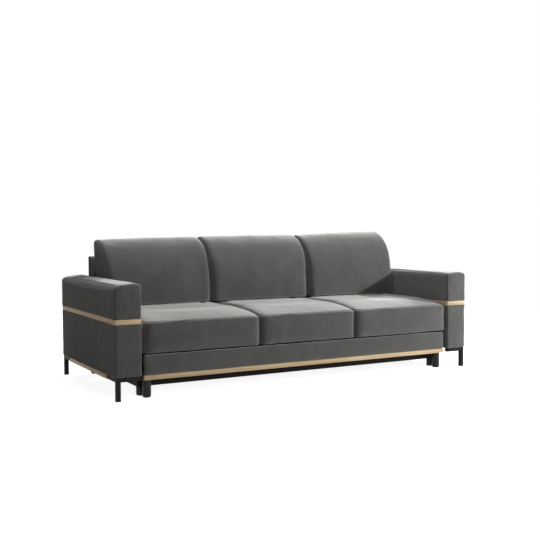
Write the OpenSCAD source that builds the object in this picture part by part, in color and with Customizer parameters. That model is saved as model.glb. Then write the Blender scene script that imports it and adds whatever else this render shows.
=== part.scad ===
// Three-seat sofa bed: the seat pulls out to the front and the back folds down flat behind it.
// X runs along the sofa, +Y to its rear, +Z up. The origin is on the floor, at the middle of the arms' depth.

/* [Overall] */
// Width over both arms
overall_w = 2400; // [2200:10:2600]
// Depth of the arms from front to rear
arm_d = 1010; // [980:5:1060]

/* [Arms] */
// Width of one arm
arm_w = 150; // [130:5:180]
// Height of the square steel legs with their glides
arm_leg_h = 103; // [90:1:115]
// Height of the steel bar under the arm
bar_h = 23; // [18:1:28]
// Width of the steel bar and of the square legs
bar_w = 25; // [20:1:30]
// Wall of the steel bar and legs
bar_wall = 2; // [1.5:0.5:3]
// Set-back of the steel from the padded faces
bar_inset = 5; // [3:1:8]
// Height of the padded lower block
arm_lower_h = 282; // [270:2:300]
// Height of the oak band
band_h = 26; // [20:1:30]
// Set-back of the oak band from the padded faces
band_inset = 3; // [1:0.5:5]
// Height of the padded upper block at its crown
arm_upper_h = 190; // [160:2:200]
// Rise of the upper block's crown over its edges
arm_crown = 8; // [4:1:14]
// Radius of the upper block's long edges
arm_edge_r = 18; // [12:1:34]
// Radius of the arm's upright corners
arm_corner_r = 9; // [5:1:9.5]
// Padding over the arm's boards
arm_pad_t = 10; // [10:1:14]
// Padding on top of the arm
arm_top_pad_t = 48; // [40:1:60]
// Board thickness of the arm's carcass
carcass_t = 16; // [12:1:18]
// Thickness of the oak inlay on the outer bar
inlay_t = 5; // [3:0.5:5]
// Place of the inlay's two ends along the arm
inlay_shares = [0.152, 0.842];

/* [Base] */
// Thickness of the base's boards
board_t = 18; // [15:1:20]
// Gap from the seat legs to the base's front board
base_front_gap = 5; // [3:1:20]
// Set-back of the base's rear board from the arms' rear
base_rear_setback = 25; // [15:1:40]
// Underside of the base's boards above the floor
board_z = 56; // [50:1:62]
// Top of the side boards and the rear board
side_board_top = 235; // [232:1:237]
// Top of the front board
front_board_top = 190; // [160:1:194]
// Height of the cross rails
cross_rail_h = 50; // [40:1:60]
// Width of the cross rails
cross_rail_w = 40; // [30:1:60]
// Side of the square corner blocks
corner_block_w = 50; // [40:1:60]
// Height of the corner blocks
corner_block_h = 80; // [60:1:80]
// Diameter of the round legs
round_leg_dia = 48; // [40:1:50]
// Middle of a base leg, in from the side board
base_leg_in_x = 17; // [15:1:20]
// Middle of a base leg, in from the front or rear board
base_leg_in_y = 23; // [20:1:26]

/* [Pull-out seat] */
// Travel of the seat from sofa to bed
travel = 340; // [320:5:345]
// Gap between the seat cushions and the arms
seat_side_gap = 10; // [9:1:30]
// Set-back of the cushions' fronts from the arms' front
seat_setback = 2; // [1:1:10]
// Top of the seat's frame above the floor
deck_z = 242; // [240:1:246]
// Height of the seat's beech rails
rail_h = 42; // [36:1:43]
// Width of the seat's beech rails
rail_w = 40; // [34:1:44]
// Gap between the side rails and the base's side boards
rail_side_gap = 8; // [7.5:0.5:10]
// Height of the padded apron
apron_h = 117; // [105:1:119]
// Thickness of the apron and of the oak strip
apron_t = 20; // [16:1:21]
// Set-back of the apron from the arms' front
apron_setback = 16; // [12:1:20]
// Gap between the apron's ends and the arms
apron_side_gap = 16; // [12:1:20]
// Height of the oak strip under the apron
strip_h = 25; // [18:1:30]
// Middle of a seat leg, in from the middle of a base leg
seat_leg_step = 10; // [8:1:15]

/* [Seat cushions] */
// Width of the middle seat cushion
seat_mid_w = 658; // [600:2:720]
// Gap between neighbouring cushions
cushion_gap = 2; // [1:0.5:4]
// Height of the front seam above the cushion's underside
seat_seam_h = 170; // [150:1:175]
// Rise of the seat cushion's crown over the front seam
seat_crown = 40; // [25:1:45]
// Fall of the crown from the cushion's middle to its ends
seat_end_fall = 10; // [5:1:14]
// Forward bow of the front face
seat_bow = 2; // [1:0.5:2]
// Radius of the cushions' end edges
cushion_edge_r = 16; // [10:1:20]
// Depth that the cushions' ends are drawn in
cushion_draw = 5; // [2:1:8]

/* [Back cushions] */
// Width of the middle back cushion
back_mid_w = 726; // [680:2:760]
// Gap between the back cushions' ends and the arms
back_side_gap = 7; // [6:0.5:12]
// Height of the back cushions
back_cushion_h = 428; // [380:2:440]
// Depth of the back cushions at their foot
back_cushion_d = 262; // [230:2:280]
// Forward bow of the back cushions' middle
back_bow = 12; // [6:1:20]

/* [Folding back] */
// Thickness of the back panel
panel_t = 130; // [120:1:134]
// Top of the back panel above the floor
panel_top = 731; // [700:1:760]
// Set-back of the back panel from the arms' rear
panel_setback = 49; // [40:1:80]
// Gap from the seat's rear to the back panel's front
panel_gap = 16; // [14:1:20]
// Place of the pivot, in from the panel's front and up from its foot
pivot_inset = 88; // [85:1:90]
// Gap between the panel's lower part and the arms
panel_side_gap = 32; // [31.5:0.5:36]
// Gap between the panel's upper part and the arms
ear_side_gap = 7; // [6.5:0.5:12]
// Underside of the panel's wider upper part above the floor
ear_z = 600; // [580:1:620]
// Radius of the panel's top edges
panel_top_r = 26; // [15:1:30]
// Padding on the panel's front and top
panel_pad_t = 20; // [15:1:30]
// Thickness of the panel's rear cover board
rear_cover_t = 8; // [5:1:10]

/* [Fold mechanism] */
// Angle that the back turns through
fold_angle = 90; // [88:1:90]
// Distance from the pivot to the guide pin
guide_arm = 150; // [130:1:155]
// Radius of the pivot pins and guide pins
pin_r = 6; // [5:0.5:7]
// Thickness of the guide track plates
track_t = 5; // [4:0.5:5]
// Rim of the track plate around its slot
track_rim = 12; // [9:1:13]
// Thickness of the pivot brackets
bracket_t = 5; // [4:0.5:5]
// Thickness of the hinge plates on the panel
hinge_t = 4; // [3:0.5:4]
// Radius of the eye round the pivot
eye_r = 20; // [16:1:21]
// Radius of the rear rollers
roller_r = 14; // [12:0.5:16]
// Width of the rear rollers
roller_w = 12; // [10:0.5:12]
// Underside of the roller channel above the floor
channel_z = 140; // [137:1:145]
// Wall of the roller channel
channel_wall = 2; // [1.5:0.5:2.5]
// Depth of the roller channel across
channel_w = 20; // [19:0.5:20]

/* [Hidden] */

velvet = "#4a4a47";
oak = "#cfb48a";
steel = "#2e2a29";
dark_board = "#1f1b19";
beech = "#d8b98c";
zinc = "#a9abac";
black_plastic = "#1c1c1c";

$fn = 64;
// Overrun of every cut past the face that it opens
overrun = 1;
// Gap between a soft piece, or a moving one, and what carries it
rest_gap = 0.3;
// Radial clearance of a pin in its bore
pin_clear = 0.08;
// Clearance of a guide pin in its slot, and of a bolt or screw in its hole
slot_clear = 0.4;

// Planes of the arms, for the right arm
arm_x0 = overall_w / 2 - arm_w;
arm_x1 = overall_w / 2;
arm_front = -arm_d / 2;
arm_rear = arm_d / 2;
lower_z = arm_leg_h + bar_h;
band_z = lower_z + arm_lower_h;
upper_z = band_z + band_h;
carcass_x = [arm_x0 + arm_pad_t, arm_x1 - arm_pad_t];
carcass_y = [arm_front + arm_pad_t, arm_rear - arm_pad_t];
carcass_top = upper_z + arm_upper_h - arm_top_pad_t;
arm_crown_r = (arm_w * arm_w / 4 + arm_crown * arm_crown) / (2 * arm_crown);
mitre_gap = 0.3;

// Legs and glides
glide_h = 4;
glide_plug_h = 14;
glide_fit = 0.2;
leg_cap_t = 3;
round_glide_in = 5;
leg_chamfer = 3;
bar_outer_x = arm_x1 - bar_inset;
bar_y = [arm_front + bar_inset, arm_rear - bar_inset];

// Planes from front to rear: cushions, apron, seat legs, base, back panel
seat_front = arm_front + seat_setback;
apron_front = arm_front + apron_setback;
frame_front = apron_front + apron_t;
seat_leg_gap = 1;
seat_leg_y = frame_front + seat_leg_gap + round_leg_dia / 2;
base_front = seat_leg_y + round_leg_dia / 2 + base_front_gap;
base_rear = arm_rear - base_rear_setback;
panel_rear = arm_rear - panel_setback;
panel_front = panel_rear - panel_t;
seat_rear = panel_front - panel_gap;
seat_d = seat_rear - seat_front;

// Planes of the base
board_x = arm_x0 - board_t;
inner_y = [base_front + board_t, base_rear - board_t];
base_leg_x = board_x - base_leg_in_x;
base_leg_ys = [inner_y[0] + base_leg_in_y, inner_y[1] - base_leg_in_y];
cross_rail_shares = [0.34, 0.70];

// Bolts that hold an arm to the base
bolt_r = 4;
bolt_head_r = 7;
bolt_head_t = 5;
bolt_drop = 6;
bolt_shares = [0.18, 0.52, 0.86];
bolt_ys = [for (s = bolt_shares) arm_front + s * arm_d];
bolt_reach = board_t + arm_pad_t + carcass_t;

// Planes of the pull-out seat
seat_x = arm_x0 - seat_side_gap;
apron_x = arm_x0 - apron_side_gap;
apron_edge_r = 6;
side_rail_x1 = board_x - rail_side_gap;
side_rail_x0 = side_rail_x1 - rail_w;
rail_z = deck_z - rail_h;
bolt_z = rail_z - bolt_drop - bolt_head_r;
spring_y = [frame_front + rail_w, seat_rear - rail_w];
seat_leg_x = base_leg_x - seat_leg_step;
apron_z = deck_z - apron_h;

// Wave springs
spring_wire = 4;
spring_w = 60;
spring_pitch = 44;
spring_drop = 5;
spring_joint = 0.5;
seat_spring_count = 10;
back_spring_count = 10;

// Seat cushions
cushion_z = deck_z + rest_gap;
seat_seam_z = cushion_z + seat_seam_h;
seat_top_z = seat_seam_z + seat_crown;
seat_mid_x = seat_mid_w / 2;
seat_outer_w = seat_x - seat_mid_x - cushion_gap;
end_arc_steps = 3;
ring_steps = 10;
seat_bottom_shares = [0, 0.33, 0.66, 1];
seat_face_shares = [0.08, 0.35, 0.65, 0.92];
seat_top_shares = [0, 0.015, 0.04, 0.08, 0.14, 0.22, 0.34, 0.5, 0.66, 0.8, 0.9, 0.96, 1];
seat_rear_shares = [0.75, 0.35];
front_rise_share = 0.34;
rear_fall_share = 0.2;
rear_drop_share = 0.55;
front_rise_power = 2.4;
rear_fall_power = 2;
end_fall_power = 2.5;
end_draw_power = 14;

// Back cushions
back_cushion_z = seat_top_z + rest_gap;
back_cushion_x = arm_x0 - back_side_gap;
back_mid_x = back_mid_w / 2;
back_outer_w = back_cushion_x - back_mid_x - cushion_gap;
back_height_power = 2.7;
back_depth_power = 2;
back_arc_steps = 13;
back_foot_share = 0.06;
back_foot_in_share = 0.05;

// Back panel and its pivot
bed_z = seat_top_z - seat_end_fall - rest_gap;
panel_z = bed_z - 2 * pivot_inset;
pivot_y = panel_front + pivot_inset;
pivot_z = panel_z + pivot_inset;
panel_x = arm_x0 - panel_side_gap;
ear_x = arm_x0 - ear_side_gap;
sweep_clear = 5;
// Radius of the panel's lower front edge, which lets it turn just behind the seat
heel_r = (sqrt(2) * pivot_inset - pivot_inset - panel_gap + sweep_clear) / (sqrt(2) - 1);
panel_side_pad_t = 14;
back_rail_h = 45;
back_rail_d = 60;
back_post_w = 45;
back_post_shares = [0, 0.25, 0.5, 0.75, 1];
back_frame_x = panel_x - panel_side_pad_t;
back_frame_y = [panel_rear - rear_cover_t - back_rail_d, panel_rear - rear_cover_t];
back_frame_z = [panel_z + panel_pad_t, panel_top - panel_pad_t];

// Hinges of the back
hinge_x = [panel_x, panel_x + hinge_t];
bracket_gap = 2;
bracket_x = [hinge_x[1] + bracket_gap, hinge_x[1] + bracket_gap + bracket_t];
hinge_plate_r = 17;
pin_head_r = 10;
pin_head_t = 2.5;
pin_head_gap = 1;
bracket_foot_l = 120;
bracket_foot_in = 3;
bracket_neck_gap = 3;
guide_pin_gap = 0.6;
guide_z = pivot_z + guide_arm;

// Guide tracks
track_steps = 24;
track_x = [arm_x0 - track_t, arm_x0];
slot_half = pin_r + slot_clear;
track_half = slot_half + track_rim;
lug_r = 11;
lug_out = 26;
screw_r = 2.5;
screw_head_r = 5;
screw_head_t = 1.5;
screw_reach = arm_pad_t + carcass_t;
turn_per_mm = fold_angle * PI / 180 / travel;

// Rear rollers
channel_x = [board_x - channel_w, board_x];
channel_inner_h = 2 * (roller_r + rest_gap);
roller_z = channel_z + channel_wall + rest_gap + roller_r;
roller_in_y = 30;
roller_y = seat_rear - roller_in_y;
channel_spare = 30;
channel_y = [roller_y - travel - roller_r - channel_spare, roller_y + roller_r + channel_spare];
roller_web_gap = 4;
roller_x1 = board_x - channel_wall - roller_web_gap;
roller_x0 = roller_x1 - roller_w;
roller_edge = 1;
axle_r = 4;
axle_boss_r = 7;
axle_gap = 0.3;
axle_head_t = 2;
hanger_t = 4;
hanger_boss_l = 3;
hanger_w = 36;
hanger_flange_t = 3;
hanger_flange_w = 22;
hanger_drop = 12;
hanger_x1 = roller_x0 - axle_gap - hanger_boss_l;

// A box between two planes along each axis
module block(x, y, z) {
    translate([x[0], y[0], z[0]]) cube([x[1] - x[0], y[1] - y[0], z[1] - z[0]]);
}

// A piece made for the right side, on the right or mirrored to the left
module sided(side) {
    mirror([side < 0 ? 1 : 0, 0, 0]) children();
}

// A piece made for the right side, on both sides
module both_sides() {
    for (side = [-1, 1]) sided(side) children();
}

// The waste outside a rounded corner at the origin
module corner_waste(r) {
    difference() {
        translate([-overrun, -overrun]) square([r + overrun, r + overrun]);
        translate([r, r]) circle(r);
    }
}

// A rectangle with its own radius at the low left, low right, high right and high left corner
module rounded_rect(w, h, radii) {
    difference() {
        square([w, h]);
        if (radii[0] > 0) corner_waste(radii[0]);
        if (radii[1] > 0) translate([w, 0]) mirror([1, 0]) corner_waste(radii[1]);
        if (radii[2] > 0) translate([w, h]) rotate(180) corner_waste(radii[2]);
        if (radii[3] > 0) translate([0, h]) mirror([0, 1]) corner_waste(radii[3]);
    }
}

// An outline in the Y-Z plane, as thick as the two given X planes are apart
module side_plate(x) {
    translate([x[0], 0, 0]) rotate([90, 0, 90]) linear_extrude(x[1] - x[0]) children();
}

// A rod along X between two planes
module x_rod(r, x, y, z) {
    translate([x[0], y, z]) rotate([0, 90, 0]) cylinder(r = r, h = x[1] - x[0]);
}

// A closed skin over rings of points, with a fan at each end
module skin(rings) {
    rows = len(rings);
    cols = len(rings[0]);
    first_end = rows * cols;
    function ring_middle(ring) = [for (k = [0 : 2]) sum([for (p = ring) p[k]]) / cols];
    points = concat([for (ring = rings) for (p = ring) p], [ring_middle(rings[0]), ring_middle(rings[rows - 1])]);
    walls = [for (i = [0 : rows - 2]) for (j = [0 : cols - 1])
        let (a = i * cols + j, b = i * cols + (j + 1) % cols)
        each [[a, a + cols, b], [b, a + cols, b + cols]]];
    fans = [for (j = [0 : cols - 1])
        let (k = (j + 1) % cols, last = (rows - 1) * cols)
        each [[first_end, j, k], [first_end + 1, last + k, last + j]]];
    polyhedron(points = points, faces = concat(walls, fans));
}

function sum(values, i = 0) = i < len(values) ? values[i] + sum(values, i + 1) : 0;

// Share of the full height reached at share t of the way in from an edge
function rise(t, power) = 1 - pow(1 - min(1, max(0, t)), power);

// Stations across a cushion: distance from its middle, and how far the ring is drawn in there
function end_stations(half_w, r) = [for (i = [0 : end_arc_steps])
    let (a = 90 - 90 * i / end_arc_steps) [half_w - r + r * sin(a), r - r * cos(a)]];
function stations(w) =
    let (half_w = w / 2, r = cushion_edge_r, ends = end_stations(half_w, r), n = len(ends))
    concat(
        [for (e = ends) [-e[0], e[1]]],
        [for (i = [1 : ring_steps - 1]) [(half_w - r) * (2 * i / ring_steps - 1), 0]],
        [for (i = [n - 1 : -1 : 0]) ends[i]]
    );

// A ring of [y, z] points at station [x, inset], drawn in at its middle height near the ends
function placed_ring(profile, station, half_w, low, high, depth) =
    let (
        x = station[0],
        y_mid = (min([for (p = profile) p[0]]) + max([for (p = profile) p[0]])) / 2,
        z_mid = (low + high) / 2,
        y_scale = 1 - 2 * station[1] / depth,
        z_scale = 1 - 2 * station[1] / (high - low),
        near_end = pow(abs(x) / half_w, end_draw_power)
    )
    [for (p = profile)
        let (
            z = z_mid + (p[1] - z_mid) * z_scale,
            up = (z - low) / (high - low),
            pull = cushion_draw * 4 * up * (1 - up) * near_end
        )
        [x - sign(x) * pull, y_mid + (p[0] - y_mid) * y_scale, z]];

// Profile of a seat cushion at a share of the way from its middle to its end
function seat_profile(s) =
    let (fall = seat_end_fall * pow(abs(s), end_fall_power), crown = seat_crown - fall)
    concat(
        [for (v = seat_bottom_shares) [seat_rear - seat_d * v, cushion_z]],
        [for (v = seat_face_shares)
            [seat_front + seat_bow * (1 - 4 * v * (1 - v)), cushion_z + seat_seam_h * v]],
        [for (v = seat_top_shares)
            let (
                front = rise(v / front_rise_share, front_rise_power),
                rear = 1 - rise((1 - v) / rear_fall_share, rear_fall_power),
                lift = front - rear_drop_share * rear
            )
            [seat_front + seat_bow + (seat_d - seat_bow) * v, seat_seam_z + crown * lift]],
        [for (v = seat_rear_shares) [seat_rear, cushion_z + seat_seam_h * v]]
    );

module seat_cushion(w, mid_x) {
    color(velvet) translate([mid_x, 0, 0]) skin([for (st = stations(w))
        placed_ring(seat_profile(2 * st[0] / w), st, w / 2, cushion_z, seat_top_z, seat_d)]);
}

// Profile of a back cushion: a superellipse from its foot to its crest, with an upright rear
function back_profile(s) =
    let (
        rear = panel_front - rest_gap,
        low = back_cushion_z,
        bow = back_bow * (1 - s * s),
        d = back_cushion_d + bow - back_bow,
        foot = low + back_cushion_h * back_foot_share
    )
    concat(
        [[rear, low], [rear - d / 2, low], [rear - d * (1 - back_foot_in_share), low]],
        [for (i = [0 : back_arc_steps])
            let (
                a = 90 * i / back_arc_steps,
                up = pow(sin(a), 2 / back_height_power),
                out = pow(cos(a), 2 / back_depth_power)
            )
            [rear - d * out, foot + (low + back_cushion_h - foot) * up]],
        [[rear, low + back_cushion_h * 2 / 3], [rear, low + back_cushion_h / 3]]
    );

module back_cushion(w, mid_x) {
    color(velvet) translate([mid_x, 0, 0]) skin([for (st = stations(w))
        placed_ring(back_profile(2 * st[0] / w), st, w / 2,
            back_cushion_z, back_cushion_z + back_cushion_h, back_cushion_d)]);
}

// Arms

module track_screw_holes(r) {
    for (place = track_screw_places)
        x_rod(r, [track_x[0] - overrun, arm_x0 + screw_reach + overrun], place[0], place[1]);
}

module bolt_holes(r) {
    for (y = bolt_ys) x_rod(r, [board_x - overrun, board_x + bolt_reach + overrun], y, bolt_z);
}

module arm_frame(side) {
    color(beech) sided(side) difference() {
        block(carcass_x, carcass_y, [lower_z, carcass_top]);
        block(
            [carcass_x[0] + carcass_t, carcass_x[1] - carcass_t],
            [carcass_y[0] + carcass_t, carcass_y[1] - carcass_t],
            [lower_z + carcass_t, carcass_top - carcass_t]
        );
        bolt_holes(bolt_r + slot_clear);
        track_screw_holes(screw_r + slot_clear);
    }
}

module arm_plan(inset, r) {
    translate([arm_x0 + inset, arm_front + inset])
        rounded_rect(arm_w - 2 * inset, arm_d - 2 * inset, [r, r, r, r]);
}

module arm_lower_cover(side) {
    color(velvet) sided(side) difference() {
        translate([0, 0, lower_z]) linear_extrude(arm_lower_h) arm_plan(0, arm_corner_r);
        block(carcass_x, carcass_y, [lower_z - overrun, band_z + overrun]);
        bolt_holes(bolt_r + slot_clear);
        track_screw_holes(screw_r + slot_clear);
    }
}

// Four slats round the carcass, mitred at the corners
module arm_oak_band(side) {
    color(oak) sided(side) difference() {
        translate([0, 0, band_z]) linear_extrude(band_h) arm_plan(band_inset, 0);
        block(carcass_x, carcass_y, [band_z - overrun, upper_z + overrun]);
        for (ix = [0, 1], iy = [0, 1])
            translate([ix ? carcass_x[1] : carcass_x[0], iy ? carcass_y[1] : carcass_y[0], band_z - overrun])
                rotate([0, 0, ix == iy ? 45 : -45])
                    translate([-arm_pad_t * 2, -mitre_gap / 2, 0])
                        cube([arm_pad_t * 4, mitre_gap, band_h + 2 * overrun]);
    }
}

module arm_upper_profile() {
    intersection() {
        rounded_rect(arm_w, arm_upper_h, [0, 0, arm_edge_r, arm_edge_r]);
        translate([arm_w / 2, arm_upper_h - arm_crown_r]) circle(arm_crown_r, $fn = 360);
    }
}

module arm_upper_pad(side) {
    color(velvet) sided(side) difference() {
        intersection() {
            translate([arm_x0, arm_rear, upper_z]) rotate([90, 0, 0]) linear_extrude(arm_d) arm_upper_profile();
            translate([0, 0, upper_z]) linear_extrude(arm_upper_h + overrun) arm_plan(0, arm_corner_r);
        }
        block(carcass_x, carcass_y, [upper_z - overrun, carcass_top]);
        track_screw_holes(screw_r + slot_clear);
    }
}

// Steel channel, open to the top, between two planes along X and Y
module top_channel(x, y) {
    difference() {
        block(x, y, [arm_leg_h, lower_z]);
        block(
            [x[0] + bar_wall, x[1] - bar_wall],
            [y[0] + bar_wall, y[1] - bar_wall],
            [arm_leg_h + bar_wall, lower_z + overrun]
        );
    }
}

module arm_base_bar(side) {
    color(steel) sided(side) top_channel([bar_outer_x - bar_w, bar_outer_x], bar_y);
}

// Bars across the front and the rear of both arms, from the long bar to the arm's inner side
module arm_bar_returns() {
    color(steel) both_sides() for (y = [bar_y[0], bar_y[1] - bar_w])
        top_channel([arm_x0 + bar_inset, bar_outer_x - bar_w], [y, y + bar_w]);
}

module arm_oak_inlay(side) {
    color(oak) sided(side) block(
        [bar_outer_x, bar_outer_x + inlay_t],
        [for (s = inlay_shares) arm_front + arm_d * s],
        [arm_leg_h, lower_z]
    );
}

// Square tube legs under the bar's two outer corners
module arm_leg_spots() {
    for (y = [bar_y[0], bar_y[1] - bar_w]) translate([bar_outer_x - bar_w, y, 0]) children();
}

module arm_legs(side) {
    color(steel) sided(side) arm_leg_spots() difference() {
        translate([0, 0, glide_h]) cube([bar_w, bar_w, arm_leg_h - glide_h]);
        translate([bar_wall, bar_wall, glide_h - overrun])
            cube([bar_w - 2 * bar_wall, bar_w - 2 * bar_wall, arm_leg_h - glide_h - leg_cap_t + overrun]);
    }
}

module arm_leg_glides() {
    plug_in = bar_wall + glide_fit;
    color(black_plastic) both_sides() arm_leg_spots() {
        cube([bar_w, bar_w, glide_h]);
        translate([plug_in, plug_in, 0]) cube([bar_w - 2 * plug_in, bar_w - 2 * plug_in, glide_h + glide_plug_h]);
    }
}

module arm_bolts() {
    color(zinc) both_sides() for (y = bolt_ys) {
        x_rod(bolt_head_r, [board_x - bolt_head_t, board_x], y, bolt_z);
        x_rod(bolt_r, [board_x - bolt_head_t / 2, board_x + bolt_reach], y, bolt_z);
    }
}

// Base

module base_front_board() {
    color(dark_board) block([-board_x, board_x], [base_front, inner_y[0]], [board_z, front_board_top]);
}

module base_rear_board() {
    color(dark_board) block([-board_x, board_x], [inner_y[1], base_rear], [board_z, side_board_top]);
}

module base_side_board(side) {
    color(dark_board) sided(side) difference() {
        block([board_x, arm_x0], [base_front, base_rear], [board_z, side_board_top]);
        bolt_holes(bolt_r + slot_clear);
    }
}

module base_cross_rails() {
    color(beech) for (s = cross_rail_shares)
        translate([-board_x, inner_y[0] + (inner_y[1] - inner_y[0]) * s, board_z])
            cube([2 * board_x, cross_rail_w, cross_rail_h]);
}

module base_corner_blocks() {
    color(beech) both_sides() for (y = [inner_y[0], inner_y[1] - corner_block_w])
        translate([board_x - corner_block_w, y, board_z]) cube([corner_block_w, corner_block_w, corner_block_h]);
}

// A round leg with a chamfered foot, between two heights
module round_leg(low, high) {
    r = round_leg_dia / 2;
    rotate_extrude() polygon([[0, low], [r - leg_chamfer, low], [r, low + leg_chamfer], [r, high], [0, high]]);
}

module round_glide() {
    cylinder(r = round_leg_dia / 2 - round_glide_in, h = glide_h);
}

module base_leg_spots() {
    both_sides() for (y = base_leg_ys) translate([base_leg_x, y, 0]) children();
}

module base_legs() {
    color(steel) base_leg_spots() round_leg(glide_h, board_z);
}

module base_leg_glides() {
    color(black_plastic) base_leg_spots() round_glide();
}

module roller_channel(side) {
    outer_h = channel_inner_h + 2 * channel_wall;
    color(zinc) sided(side) difference() {
        block(channel_x, channel_y, [channel_z, channel_z + outer_h]);
        block(
            [channel_x[0] - overrun, channel_x[1] - channel_wall],
            [channel_y[0] - overrun, channel_y[1] + overrun],
            [channel_z + channel_wall, channel_z + channel_wall + channel_inner_h]
        );
    }
}

// Path of the guide pin, in the Y-Z plane, as the seat moves forward and the back turns with it
function fold_at(s) = fold_angle * s / travel;
function track_point(s) =
    [pivot_y - s + guide_arm * sin(fold_at(s)), pivot_z + guide_arm * cos(fold_at(s))];
function track_heading(s) =
    [guide_arm * turn_per_mm * cos(fold_at(s)) - 1, -guide_arm * turn_per_mm * sin(fold_at(s))];
function track_edge(s, off) =
    let (h = track_heading(s), n = [h[1], -h[0]] / norm(h)) track_point(s) + off * n;
track_screw_places = [
    track_point(0) + [0, lug_out],
    track_point(travel) + [-lug_out, 0],
    track_edge(travel / 2, -track_half)
];

module track_band(half) {
    polygon(concat(
        [for (i = [0 : track_steps]) track_edge(travel * i / track_steps, half)],
        [for (i = [track_steps : -1 : 0]) track_edge(travel * i / track_steps, -half)]
    ));
    for (s = [0, travel]) translate(track_point(s)) circle(half);
}

module guide_track(side) {
    color(zinc) sided(side) side_plate(track_x) difference() {
        union() {
            track_band(track_half);
            for (place = track_screw_places) translate(place) circle(lug_r);
        }
        track_band(slot_half);
        for (place = track_screw_places) translate(place) circle(screw_r + slot_clear);
    }
}

module track_screws() {
    color(zinc) both_sides() for (place = track_screw_places) {
        x_rod(screw_head_r, [track_x[0] - screw_head_t, track_x[0]], place[0], place[1]);
        x_rod(screw_r, [track_x[0] - screw_head_t / 2, arm_x0 + screw_reach], place[0], place[1]);
    }
}

// Pull-out seat

module seat_front_rail() {
    color(beech) block([-side_rail_x0, side_rail_x0], [frame_front, frame_front + rail_w], [rail_z, deck_z]);
}

module seat_rear_rail() {
    color(beech) block([-side_rail_x0, side_rail_x0], [seat_rear - rail_w, seat_rear], [rail_z, deck_z]);
}

module seat_side_rail(side) {
    color(beech) sided(side) block([side_rail_x0, side_rail_x1], [frame_front, seat_rear], [rail_z, deck_z]);
}

// Rails from front to rear, set under the joints of the cushions
module seat_cross_rails() {
    color(beech) both_sides() block(
        [seat_mid_x - rail_w / 2, seat_mid_x + rail_w / 2],
        spring_y,
        [rail_z, deck_z - spring_drop - spring_wire]
    );
}

// Flat wave spring along +Y, its first and last bar against what holds it
module wave_spring(l) {
    turns = floor((l - spring_wire) / spring_pitch);
    pitch = (l - spring_wire) / turns;
    bend_x = spring_w / 2 - pitch / 2;
    linear_extrude(spring_wire) {
        for (i = [0 : turns])
            translate([-bend_x, i * pitch]) square([2 * bend_x, spring_wire]);
        for (i = [0 : turns - 1])
            translate([i % 2 ? -bend_x : bend_x, i * pitch + pitch / 2 + spring_wire / 2])
                mirror([i % 2 ? 1 : 0, 0]) difference() {
                    circle((pitch + spring_wire) / 2, $fn = 32);
                    circle((pitch - spring_wire) / 2, $fn = 32);
                    translate([-pitch - spring_joint, -pitch]) square([pitch, 2 * pitch]);
                }
    }
}

// Places of evenly spaced springs between two side planes
function spring_xs(count, half) = [for (i = [0 : count - 1]) half * ((2 * i + 1) / count - 1)];

module seat_springs() {
    color(zinc) for (x = spring_xs(seat_spring_count, side_rail_x0))
        translate([x, spring_y[0], deck_z - spring_drop - spring_wire]) wave_spring(spring_y[1] - spring_y[0]);
}

module seat_apron() {
    color(velvet) translate([-apron_x, apron_front, apron_z])
        linear_extrude(apron_h) rounded_rect(2 * apron_x, apron_t, [apron_edge_r, apron_edge_r, 0, 0]);
}

module seat_oak_strip() {
    color(oak) block([-apron_x, apron_x], [apron_front, frame_front], [apron_z - strip_h, apron_z]);
}

module seat_leg_spots() {
    both_sides() translate([seat_leg_x, seat_leg_y, 0]) children();
}

module seat_legs() {
    color(steel) seat_leg_spots() round_leg(glide_h, rail_z);
}

module seat_leg_glides() {
    color(black_plastic) seat_leg_spots() round_glide();
}

// Plate from the side rail, up behind the seat, to the eye of the back's pivot
module bracket_outline() {
    low = rail_z + bracket_foot_in;
    high = deck_z - bracket_foot_in;
    neck_y = seat_rear + bracket_neck_gap;
    reach = eye_r / sqrt(2);
    polygon([
        [seat_rear - bracket_foot_l, low],
        [seat_rear, low],
        [pivot_y + reach, pivot_z - reach],
        [pivot_y - reach, pivot_z + reach],
        [neck_y, deck_z + reach],
        [neck_y, high],
        [seat_rear - bracket_foot_l, high]
    ]);
    translate([pivot_y, pivot_z]) circle(eye_r);
}

module pivot_bracket(side) {
    color(zinc) sided(side) side_plate(bracket_x) difference() {
        bracket_outline();
        translate([pivot_y, pivot_z]) circle(pin_r + pin_clear);
    }
}

module roller_arm(side) {
    y = [roller_y - hanger_w / 2, roller_y + hanger_w / 2];
    color(zinc) sided(side) {
        block([hanger_x1 - hanger_t, hanger_x1], y, [roller_z - hanger_drop, rail_z]);
        block([hanger_x1 - hanger_flange_w, hanger_x1], y, [rail_z - hanger_flange_t, rail_z]);
        x_rod(axle_boss_r, [hanger_x1, roller_x0 - axle_gap], roller_y, roller_z);
        x_rod(axle_r, [hanger_x1, roller_x1 + axle_gap + axle_head_t], roller_y, roller_z);
        x_rod(axle_boss_r, [roller_x1 + axle_gap, roller_x1 + axle_gap + axle_head_t], roller_y, roller_z);
    }
}

module roller(side) {
    color(black_plastic) sided(side)
        translate([roller_x0, roller_y, roller_z]) rotate([0, 90, 0]) rotate_extrude() polygon([
            [axle_r + pin_clear, 0], [roller_r - roller_edge, 0], [roller_r, roller_edge],
            [roller_r, roller_w - roller_edge], [roller_r - roller_edge, roller_w], [axle_r + pin_clear, roller_w]
        ]);
}

// Folding back

module back_outline(depth) {
    translate([panel_front, panel_z])
        rounded_rect(depth, panel_top - panel_z, [heel_r, 0, panel_top_r, panel_top_r]);
}

// Front view of the panel: wider above the arms than between them
module ear_notches() {
    both_sides() block(
        [panel_x, ear_x + overrun],
        [panel_front - overrun, panel_rear + overrun],
        [panel_z - overrun, ear_z]
    );
}

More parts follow.
